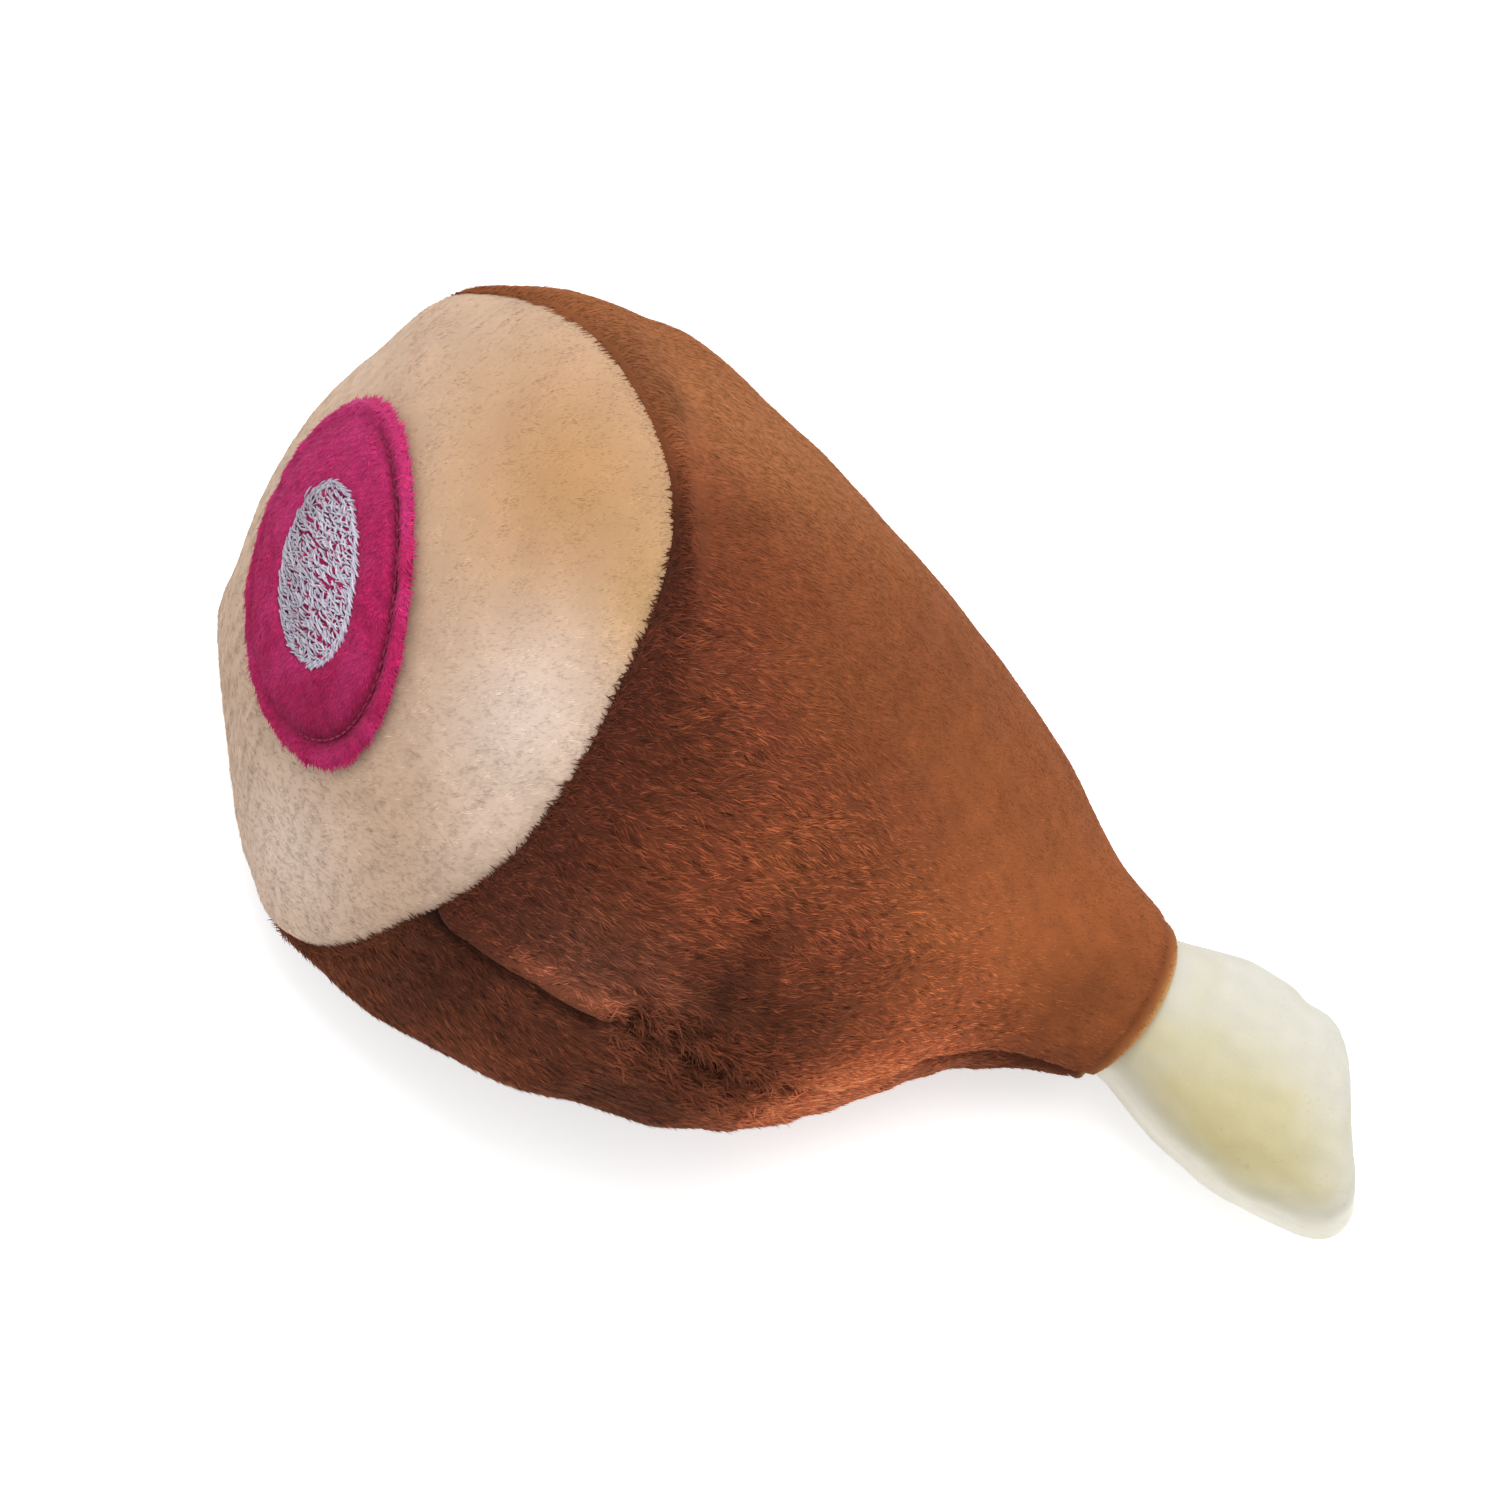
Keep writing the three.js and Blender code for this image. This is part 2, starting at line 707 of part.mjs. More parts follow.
function squeakerCap() {
  const low = whistleTop + clearance;
  const ring = turned([
    [capBore, low],
    [whistleFlangeRadius, low],
    [whistleFlangeRadius, low + capThickness],
    [capBore, low + capThickness],
    [capBore, low],
  ]);
  const tongue = new THREE.BoxGeometry(tongueThickness, tongueWidth, tongueLength + capThickness / 2);
  tongue.translate(
    reedThickness / 2 + clearance + tongueThickness / 2,
    0,
    low + capThickness / 2 - (tongueLength + capThickness / 2) / 2,
  );
  return toGeometry(toSolid(ring).add(toSolid(tongue)));
}

function squeakerReed() {
  const reed = new THREE.BoxGeometry(reedThickness, reedWidth, reedLength);
  reed.translate(0, 0, whistleTop - reedLength / 2);
  return reed;
}

const squeakerPlace = placeAt(legLength, squeakerPlaceShares);
squeakerPlace.z -= bulbHeight / 2;

// The two wads of filling part across the squeaker, half a clearance each side of its axis.
function fillings() {
  const pocket = toSolid(squeakerPocket().translate(squeakerPlace.x, squeakerPlace.y, squeakerPlace.z));
  const stuffed = wholeFilling().subtract(pocket);
  const forward = new THREE.Vector3(1, 0, 0);
  const part = (side) => {
    const point = squeakerPlace.clone().addScaledVector(forward, (side * clearance) / 2);
    return toGeometry(stuffed.intersect(halfSpace(point, forward.clone().multiplyScalar(side))));
  };
  return [part(-1), part(1)];
}

// Bone: a ball in the neck, the flaring shaft, and a rounded skew end, all drawn in by an inset.
function boneRings(inset) {
  const turns = turnsFrom(0, 2 * Math.PI, faceColumns).slice(0, faceColumns);
  const ballRadius = neckBallRadius - inset;
  const ball = ballRowShares.map((share) => {
    const angle = radians(-neckBallOpening * share);
    const centre = neckPivot.clone().addScaledVector(neckOut, ballRadius * Math.sin(angle));
    const section = roundSection(centre, neckYaw, neckPitch, ballRadius * Math.cos(angle));
    return turns.map((turn) => sectionPoint(section, turn));
  });
  const shaft = turnsFrom(0, 1, boneRows).map((t) => turns.map((turn) => boneShaftPoint(t, turn, inset)));
  const end = boneSections[boneSections.length - 1];
  const out = directions(end.yaw, end.pitch).face.negate();
  const rounding = boneEndRounding - inset;
  const cap = capAngles.map((degrees) => {
    const angle = radians(degrees);
    const drawn = inset + rounding * (1 - Math.cos(angle));
    const section = {
      ...end,
      centre: end.centre.clone().addScaledVector(out, rounding * Math.sin(angle)),
      left: end.left - drawn,
      right: end.right - drawn,
      up: end.up - drawn,
      down: end.down - drawn,
    };
    return turns.map((turn) => sectionPoint(section, turn));
  });
  const tip = end.centre.clone().addScaledVector(out, rounding + clearance);
  return { ball, shaft, cap, tip: turns.map(() => tip.clone()) };
}

function boneShaftPoint(t, turn, inset) {
  const centre = bonePoint(t, turn).add(bonePoint(t, turn + Math.PI)).divideScalar(2);
  const point = bonePoint(t, turn);
  const reach = point.distanceTo(centre);
  return centre.clone().lerp(point, (reach - inset) / reach);
}

function boneSkin(inset) {
  const { ball, shaft, cap, tip } = boneRings(inset);
  return [...ball, ...shaft, ...cap, tip];
}

function bonePanels() {
  const shell = toSolid(sheetGeometry(boneSkin(0), boneSkin(boneClothThickness), true));
  const half = (side) => {
    const point = neckPivot.clone().addScaledVector(neckFrame.up, (side * seamGap) / 2);
    return toGeometry(shell.intersect(halfSpace(point, neckFrame.up.clone().multiplyScalar(side))));
  };
  return [half(1), half(-1)];
}

// The bone's seam thread lies inside the seam, up one side, over the end and down the other side.
const boneThreadDepth = boneClothThickness + 2 * clearance + threadRadius;

function boneThreadPoints() {
  const { shaft, cap, tip } = boneRings(boneThreadDepth);
  const rings = [...shaft.slice(boneThreadStartRow), ...cap, tip];
  const across = faceColumns / 2;
  const right = rings.map((ring) => ring[across]);
  const left = rings.map((ring) => ring[0]);
  return [...right, ...left.slice(0, -1).reverse()].map((point) => {
    const height = point.clone().sub(neckPivot).dot(neckFrame.up);
    return point.addScaledVector(neckFrame.up, -height);
  });
}

// The bone's filling stays clear of the thread, and is cupped for the neck's ball.
function boneFilling() {
  const near = boneRings(boneClothThickness + clearance);
  const far = boneRings(boneThreadDepth + threadRadius + 2 * clearance);
  const across = faceColumns / 2;
  const bySeam = (j) => j % across < seamColumns || j % across > across - seamColumns;
  const shaft = near.shaft.map((ring, i) => ring.map((point, j) => (bySeam(j) ? far.shaft[i][j] : point)));
  const last = far.cap[far.cap.length - 1].map((point, j) => point.clone().lerp(far.tip[j], fillingEndShare));
  const cup = new THREE.SphereGeometry(neckBallRadius - boneClothThickness, ballSides, ballSides / 2);
  cup.translate(neckPivot.x, neckPivot.y, neckPivot.z);
  return toGeometry(toSolid(ringsGeometry([...shaft.slice(1), ...far.cap, last])).subtract(toSolid(cup)));
}

// Patch: rows from its middle to its edge, each with a share of its half sizes and a lift of its face.
function pinkPatch() {
  const turns = turnsFrom(0, 2 * Math.PI, faceColumns).slice(0, faceColumns);
  const inner = Math.max(...patchHalf.map((half, axis) => (markHalf[axis] + 2 * clearance) / half));
  const top = clearance + patchThickness;
  const [innerEdge, innerFoot, outerFoot, outerEdge] = patchGrooveShares;
  const rows = [
    ...ovalRowShares.map((share) => [share * inner, clearance + patchRecess]),
    [inner + innerFoot - innerEdge, top],
    [innerEdge, top],
    [innerFoot, top - patchGrooveDepth],
    [outerFoot, top - patchGrooveDepth],
    [outerEdge, top],
    [1, top - patchEdgeDrop],
  ];
  const centreAt = (share) => {
    const f = THREE.MathUtils.clamp((1 - share) / (1 - inner), 0, 1);
    return patchPlace.map((value, axis) => value + (markPlace[axis] - value) * f);
  };
  const grid = (liftOf) =>
    rows.map(([share, lift]) =>
      turns.map((turn) => ovalPoint(centreAt(share), patchHalf, share, turn, liftOf(lift))),
    );
  return sheetGeometry(
    grid((lift) => lift),
    grid(() => clearance),
    true,
  );
}

function ovalSheet(place, half, frontLift, backLift) {
  const turns = turnsFrom(0, 2 * Math.PI, faceColumns).slice(0, faceColumns);
  const row = (share, lift) => turns.map((turn) => ovalPoint(place, half, share, turn, lift));
  const grid = (lift) => ovalRowShares.map((share) => row(share, lift));
  return sheetGeometry(grid(frontLift), grid(backLift), true);
}

function stitchLine() {
  const lift = clearance + patchThickness - patchGrooveDepth + clearance + stitchRadius;
  const turns = turnsFrom(0, 2 * Math.PI, faceColumns).slice(0, faceColumns);
  const [, innerFoot, outerFoot] = patchGrooveShares;
  const share = (innerFoot + outerFoot) / 2;
  const centre = patchPlace.map((value, axis) => value + (markPlace[axis] - value) * (1 - share) * 2);
  const points = turns.map((turn) => ovalPoint(centre, patchHalf, share, turn, lift));
  return threadGeometry(points, stitchRadius, faceColumns, true);
}

// Seam threads.
function discSeamThread() {
  const points = faceTurns.map((turn) => {
    const along = bodyFrame(0, turn).along;
    return seamPoint(turn)
      .addScaledVector(seamMitre(turn), seamPocketDepth + 2 * clearance + threadRadius)
      .addScaledVector(along, threadRadius + clearance);
  });
  return threadGeometry(points, threadRadius, faceColumns, true);
}

function panelSeamPoints(turn, from, to, steps) {
  return turnsFrom(from, to - from, steps).map((t) => {
    const frame = bodyFrame(t, turn);
    return frame.point.addScaledVector(frame.inward, seamThreadDepth);
  });
}

// The hand-sewn closing stitch climbs from one turned-in edge to the other and back.
function closingStitchPoints() {
  const [from, to] = closingShares;
  return turnsFrom(from, to - from, closingSteps).map((t, i) => {
    const frame = bodyFrame(t, seamTurn);
    const depth = i % 2 ? seamThreadDepth : seamThreadDepth + closingZigzag;
    return frame.point.addScaledVector(frame.inward, depth);
  });
}

function neckSeamThread() {
  const centre = neckCentre.clone().addScaledVector(neckOut, -neckThreadBack);
  const section = roundSection(centre, neckYaw, neckPitch, neckThreadRadius);
  const turns = turnsFrom(0, 2 * Math.PI, faceColumns).slice(0, faceColumns);
  return threadGeometry(
    turns.map((turn) => sectionPoint(section, turn)),
    threadRadius,
    faceColumns,
    true,
  );
}

// Colours and finishes of the real pieces.
function finish(colour, roughness) {
  return new THREE.MeshStandardMaterial({ color: colour, roughness, metalness: 0 });
}

const group = new THREE.Group();

function place(parent, name, geometry, colour, roughness) {
  const bare = geometry.clone();
  bare.deleteAttribute("uv");
  bare.computeVertexNormals();
  const mesh = new THREE.Mesh(bare, finish(colour, roughness));
  mesh.name = name;
  parent.add(mesh);
  return mesh;
}

const leg = new THREE.Group();
group.add(leg);
const [fillingFaceEnd, fillingNeckEnd] = fillings();
const [bonePanelUpper, bonePanelLower] = bonePanels();
const cutFlat = (geometry) => toGeometry(toSolid(geometry).intersect(aboveRest));

place(leg, "end_disc", cutFlat(endDisc()), 0xd8b48c, 0.95);
place(leg, "embroidery_backing", ovalSheet(
  markPlace, backingHalf, -clothThickness - clearance, -clothThickness - clearance - backingThickness,
), 0xf2f0ea, 0.9);
place(leg, "pink_patch", pinkPatch(), 0xb52b68, 0.95);
place(leg, "patch_stitch_line", stitchLine(), 0x8f1d47, 0.7);
place(leg, "marrow_embroidery", ovalSheet(
  markPlace,
  markHalf,
  2 * clearance + patchRecess + markThickness,
  2 * clearance + patchRecess,
), 0xcfc9d2, 0.4);
place(leg, "body_panel_upper", cutFlat(bodyPanel(seamTurn - Math.PI)), 0x8a4a30, 0.95);
place(leg, "body_panel_lower", cutFlat(bodyPanel(seamTurn)), 0x8a4a30, 0.95);
place(leg, "disc_seam_thread", discSeamThread(), 0x6b3a28, 0.7);
place(leg, "panel_seam_thread_face_end", threadGeometry(
  panelSeamPoints(seamTurn, seamRunShares[0], seamRunShares[1], seamRows), threadRadius, 2 * seamRows, false,
), 0x6b3a28, 0.7);
place(leg, "panel_seam_thread_neck_end", threadGeometry(
  panelSeamPoints(seamTurn, seamRunShares[2], seamRunShares[3], seamRows), threadRadius, 2 * seamRows, false,
), 0x6b3a28, 0.7);
place(leg, "closing_stitch", threadGeometry(
  closingStitchPoints(), threadRadius, 4 * closingSteps, false,
), 0x6b3a28, 0.7);
place(leg, "panel_seam_thread_far", threadGeometry(
  panelSeamPoints(seamTurn + Math.PI, seamRunShares[0], seamRunShares[3], 2 * seamRows), threadRadius,
  4 * seamRows, false,
), 0x6b3a28, 0.7);
place(leg, "neck_seam_thread", neckSeamThread(), 0xe4e1d2, 0.7);
place(leg, "filling_face_end", fillingFaceEnd, 0xf7f7f4, 1);
place(leg, "filling_neck_end", fillingNeckEnd, 0xf7f7f4, 1);

const squeaker = new THREE.Group();
squeaker.position.copy(squeakerPlace);
leg.add(squeaker);
place(squeaker, "squeaker_bulb", squeakerBulb(), 0xf4f4f0, 0.5);
place(squeaker, "squeaker_whistle", squeakerWhistle(), 0xffffff, 0.35);
place(squeaker, "squeaker_reed", squeakerReed(), 0xe8e8e8, 0.3);
place(squeaker, "squeaker_cap", squeakerCap(), 0xffffff, 0.35);

const neckFillingRadius = neckBallRadius - boneClothThickness - clearance;
const neckFillingBall = closedFrom(new THREE.SphereGeometry(neckFillingRadius, ballSides, ballSides / 2));
place(leg, "neck_filling", neckFillingBall, 0xf7f7f4, 1).position.copy(neckPivot);
place(leg, "bone_panel_upper", bonePanelUpper, 0xe4e1d2, 0.95);
place(leg, "bone_panel_lower", bonePanelLower, 0xd8d0a8, 0.95);
place(leg, "bone_filling", boneFilling(), 0xf7f7f4, 1);
place(leg, "bone_seam_thread", threadGeometry(
  boneThreadPoints(), threadRadius, boneThreadSteps, false,
), 0xd8d0a8, 0.7);

// The part's origin is under the middle of its box, on the surface that it rests on.
const box = new THREE.Box3().setFromObject(leg, true);
leg.position.set(-(box.min.x + box.max.x) / 2, -(box.min.y + box.max.y) / 2, -restingHeight);

export default group;
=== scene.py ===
"""Dresses the plush ham leg toy: pile, seams, embroidery, stuffing and squeaker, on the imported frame.

Shapes are worked out in millimetres from the middle of the toy's round face, with +X along the leg, +Z up
and +Y away from the viewer, and are moved to the row's frame in metres when they become meshes.
"""
from __future__ import annotations

import logging
import math
from dataclasses import dataclass, fields, replace
from enum import Enum
from typing import Sequence

import bmesh
import bpy
import numpy as np
from bpy.types import Material, NodeSocket, NodeTree, Object
from mathutils import Matrix, Vector

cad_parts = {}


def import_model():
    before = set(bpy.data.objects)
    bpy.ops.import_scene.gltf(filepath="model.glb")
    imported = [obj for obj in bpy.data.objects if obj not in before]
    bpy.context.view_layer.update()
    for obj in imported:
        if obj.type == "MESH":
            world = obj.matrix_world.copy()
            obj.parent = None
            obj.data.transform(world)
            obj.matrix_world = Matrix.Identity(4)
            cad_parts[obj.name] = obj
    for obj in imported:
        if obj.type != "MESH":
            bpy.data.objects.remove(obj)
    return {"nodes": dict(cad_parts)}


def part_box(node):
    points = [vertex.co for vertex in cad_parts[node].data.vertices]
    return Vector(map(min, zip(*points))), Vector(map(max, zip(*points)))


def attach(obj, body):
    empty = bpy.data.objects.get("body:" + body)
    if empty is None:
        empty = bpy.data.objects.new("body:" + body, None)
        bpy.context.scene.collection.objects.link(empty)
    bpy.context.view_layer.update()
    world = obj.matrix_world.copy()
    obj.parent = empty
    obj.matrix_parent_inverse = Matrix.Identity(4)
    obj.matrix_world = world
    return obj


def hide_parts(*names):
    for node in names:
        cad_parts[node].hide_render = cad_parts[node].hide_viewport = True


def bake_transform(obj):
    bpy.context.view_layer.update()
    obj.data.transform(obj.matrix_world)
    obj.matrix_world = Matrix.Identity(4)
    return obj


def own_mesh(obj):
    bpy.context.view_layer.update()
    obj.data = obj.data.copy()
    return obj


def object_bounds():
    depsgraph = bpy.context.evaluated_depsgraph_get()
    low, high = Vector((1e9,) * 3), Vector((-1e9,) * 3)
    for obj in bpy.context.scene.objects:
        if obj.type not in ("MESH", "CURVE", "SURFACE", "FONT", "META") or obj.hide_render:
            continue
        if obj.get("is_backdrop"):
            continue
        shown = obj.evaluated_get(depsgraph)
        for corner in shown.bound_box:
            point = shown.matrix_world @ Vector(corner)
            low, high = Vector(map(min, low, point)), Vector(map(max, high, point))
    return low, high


Array = np.ndarray
LOG = logging.getLogger("ham_leg")
MM = 0.001
PILE_ATTRIBUTE = "pile"


# Numbers, curves and unevenness


def linear(hex_colour: str) -> Array:
    """Linear RGB, 0 to 1, of an sRGB hex colour: six digits, with or without a leading #."""
    digits = hex_colour.lstrip("#")
    value = np.array([int(digits[i : i + 2], 16) for i in (0, 2, 4)]) / 255.0
    return np.where(value <= 0.04045, value / 12.92, ((value + 0.055) / 1.055) ** 2.4)


def unit(vectors: Array) -> Array:
    """The vectors scaled to length one."""
    return vectors / np.maximum(np.linalg.norm(vectors, axis=-1, keepdims=True), 1e-12)


def blended(a: Array | float, b: Array | float, share: Array | float) -> Array:
    """Straight mix from a to b by a share from 0 to 1."""
    return a + (b - a) * share


def eased(value: Array, low: float, high: float) -> Array:
    """Smooth rise from 0 at low to 1 at high."""
    share = np.clip((value - low) / (high - low), 0.0, 1.0)
    return share * share * (3 - 2 * share)


def bell(value: Array, centre: Array | float, width: Array | float) -> Array:
    """Bell curve: e to the minus square of the distance from the centre over the width."""
    return np.exp(-(((value - centre) / width) ** 2))


def turn_from(turn: Array, degrees: float) -> Array:
    """Degrees from a turn to the nearest way round, -180 to 180."""
    return np.mod(np.degrees(turn) - degrees + 180, 360) - 180


def smooth_between(a: Array, b: Array, c: Array, d: Array, share: Array) -> Array:
    """Catmull-Rom value between b and c, with a and d as the neighbours."""
    return 0.5 * (
        2 * b
        + (c - a) * share
        + (2 * a - 5 * b + 4 * c - d) * share**2
        + (3 * b - a - 3 * c + d) * share**3
    )


def evened(rows: Array, share: Array, passes: int) -> Array:
    """Rows drawn over and over toward the mean of their neighbours, until no corner is left."""
    for _ in range(passes):
        mean = (rows[:-2] + 2 * rows[1:-1] + rows[2:]) / 4
        rows = np.concatenate([rows[:1], blended(rows[1:-1], mean, share[1:-1, :, None]), rows[-1:]])
    return rows


def closer_at_ends(count: int, share: float) -> Array:
    """Places from 0 to 1 that lie closer together at both ends, the more so the larger the share."""
    place = np.linspace(0, 1, count)
    return blended(place, 0.5 - 0.5 * np.cos(np.pi * place), share)


def even_turns(count: int) -> Array:
    """Turns spread evenly once round a circle, in radians."""
    return np.linspace(0, 2 * np.pi, count, endpoint=False)


def run_along(points: Array, axis: int = 0) -> Array:
    """Distances along lines of points from where each line starts: the sum of its steps so far."""
    steps = np.linalg.norm(np.diff(points, axis=axis), axis=-1)
    return np.insert(np.cumsum(steps, axis=axis), 0, 0.0, axis=axis)


def painted(points: Array, colour: str) -> Array:
    """One sRGB hex colour at every point."""
    return np.broadcast_to(linear(colour), points.shape)


def tinted(tone: Array, colour: str, share: Array) -> Array:
    """The tone mixed to an sRGB hex colour by a share from 0 to 1 at every point."""
    return blended(tone, linear(colour), share[..., None])


def round_table(values: Sequence[float], turn: Array) -> Array:
    """Values given at even turns round a circle, read smoothly at any turn in radians."""
    table = np.asarray(values)
    place = np.mod(turn / (2 * np.pi), 1.0) * len(table)
    i = np.floor(place).astype(int)
    pick = lambda k: table[(i + k) % len(table)]
    return smooth_between(pick(-1), pick(0), pick(1), pick(2), place - i)


@dataclass(frozen=True)
class Ripples:
    """Smooth unevenness in space: the sum of plane waves in random directions, about -2 to 2."""

    spacing: float
    seed: int
    waves: int = 10

    def __call__(self, points: Array) -> Array:
        """Height of the unevenness at each point, given in mm."""
        rng = np.random.default_rng(self.seed)
        ways = unit(rng.normal(size=(self.waves, 3)))
        rates = 2 * np.pi / self.spacing * rng.uniform(0.6, 1.6, self.waves)
        starts = rng.uniform(0, 2 * np.pi, self.waves)
        return np.sin(points @ (ways * rates[:, None]).T + starts).sum(-1) / math.sqrt(self.waves / 2)


@dataclass(frozen=True)
class Streaks:
    """Clumps of fibre that lie together: unevenness drawn out along the nap. About -2 to 2."""

    across: float
    along: float
    seed: int

    def __call__(self, points: Array, way: Array) -> Array:
        """Ripples read after the points are drawn together along the way, by across over along."""
        run = (points @ way)[..., None] * way
        return Ripples(self.across, self.seed, 14)(points - run * (1 - self.across / self.along))


# The photograph's view


# The camera's turn round the toy and its height over it, and its three ways.
TURN, RISE = math.radians(25.0), math.radians(70.0)
VIEW_RIGHT = np.array([math.cos(TURN), math.sin(TURN), 0.0])
VIEW_BACK = np.array([math.sin(TURN) * math.cos(RISE), -math.cos(TURN) * math.cos(RISE), math.sin(RISE)])
VIEW_UP = np.cross(VIEW_BACK, VIEW_RIGHT)
# Middle of the photograph, in mm to the right of the middle of the face and below it.
VIEW_TARGET = 43.54 * VIEW_RIGHT - 17.08 * VIEW_UP
# Across the photograph, from the leg's near seam to its far contour.
TO_FAR_CONTOUR = 0.8 * VIEW_RIGHT + 0.6 * VIEW_UP
# The brown pile was brushed this way.
BROWN_NAP = VIEW_RIGHT - 0.28 * VIEW_UP


def seen(points: Array, way: Array) -> Array:
    """How far points lie from the photograph's middle along a way across it, in mm."""
    return (points - VIEW_TARGET) @ way


@dataclass(frozen=True)
class ShadingStroke:
    """Oval seen from above where the pile is painted darker or lighter, mostly painted light and shade, or
    painted to a colour. In mm.
    """

    right: float
    up: float
    half_length: float
    half_width: float
    angle: float
    gain: float
    colour: str = ""

    def on(self, tone: Array, points: Array) -> Array:
        """The tone times 1 + gain times a bell over the oval, or mixed to the colour by gain and bell."""
        x, y = seen(points, VIEW_RIGHT) - self.right, seen(points, VIEW_UP) - self.up
        c, s = math.cos(math.radians(self.angle)), math.sin(math.radians(self.angle))
        along, across = (x * c + y * s) / self.half_length, (y * c - x * s) / self.half_width
        share = self.gain * np.exp(-(along**2) - across**2)
        return tinted(tone, self.colour, share) if self.colour else tone * (1 + share[..., None])


def shaded_by_strokes(tone: Array, points: Array, strokes: Sequence[ShadingStroke]) -> Array:
    """The tone with every stroke of painted light, shade or colour on it, in order."""
    for stroke in strokes:
        tone = stroke.on(tone, points)
    return tone


@dataclass(frozen=True)
class Swell:
    """Place where the stuffing fills the cloth out or leaves it slack: a bell along and round it."""

    place: float
    around: float
    long: float
    wide: float
    height: float

    def at(self, place: Array, turn: Array) -> Array:
        """Height in mm at a place along the cloth and a turn round it in radians."""
        beside = bell(turn_from(turn, self.around), 0, self.wide)
        return self.height * bell(place, self.place, self.long) * beside


@dataclass(frozen=True)
class Ridge:
    """Line where the cloth is raised, or pulled in where the height is below nought. In mm."""

    height: float
    width: float
    middle: float = 0.0

    def at(self, distance: Array) -> Array:
        """Height at a distance from the edge that the line follows."""
        return self.height * bell(distance, self.middle, self.width)


# The toy's form


@dataclass(frozen=True)
class Directions:
    """Three directions of a cross-section: out of its face, level across it, and up it."""

    yaw: float
    pitch: float

    @property
    def face(self) -> Array:
        """Out of the section, back along the leg."""
        y, p = math.radians(self.yaw), math.radians(self.pitch)
        return np.array([-math.cos(p) * math.cos(y), -math.cos(p) * math.sin(y), math.sin(p)])

    @property
    def level(self) -> Array:
        """Level across the section."""
        y = math.radians(self.yaw)
        return np.array([-math.sin(y), math.cos(y), 0.0])

    @property
    def up(self) -> Array:
        """Up the section."""
        y, p = math.radians(self.yaw), math.radians(self.pitch)
        return np.array([math.sin(p) * math.cos(y), math.sin(p) * math.sin(y), math.cos(p)])

    def spoke(self, turn: Array) -> Array:
        """Way out from the section's middle at a turn round it: cos(turn) level + sin(turn) up."""
        return np.cos(turn)[..., None] * self.level + np.sin(turn)[..., None] * self.up


@dataclass(frozen=True)
class Section:
    """Ring of four quarter ellipses about a centre."""

    centre: Array
    yaw: float
    pitch: float
    left: float
    right: float
    above: float
    below: float

    def ring(self, turn: Array) -> Array:
        """Centre + cos(turn) times a half width + sin(turn) times a half height, at turns in radians."""
        ways = Directions(self.yaw, self.pitch)
        c, s = np.cos(turn)[..., None], np.sin(turn)[..., None]
        across = np.where(c > 0, self.left, self.right)
        upward = np.where(s > 0, self.above, self.below)
        return self.centre + c * across * ways.level + s * upward * ways.up


def sections_from(
    shares: Sequence[Sequence[float]], angles: Sequence[Sequence[float]], origin: Array,
    length: float, half_width: float, half_height: float,
) -> list[Section]:
    """Sections whose rows hold along, across, drop, left, right, up and down as shares of the sizes."""
    return [
        Section(
            origin + length * np.array([along, across, -drop]), yaw, pitch,
            half_width * left, half_width * right, half_height * up, half_height * down,
        )
        for (along, across, drop, left, right, up, down), (yaw, pitch) in zip(shares, angles)
    ]


def through_rings(rings: Array, first: Array, t: Array) -> Array:
    """Catmull-Rom skin through rings of points, with one before the first, at shares t from 0 to 1."""
    last = len(rings) - 1
    after = 2 * rings[last] - rings[last - 1]
    line = np.concatenate([first[None], rings, after[None]])
    i = np.clip(np.floor(t * last).astype(int), 0, last - 1)
    pick = lambda k: np.take_along_axis(line, (i + k)[None, ..., None], axis=0)[0]
    return smooth_between(pick(0), pick(1), pick(2), pick(3), (t * last - i)[..., None])


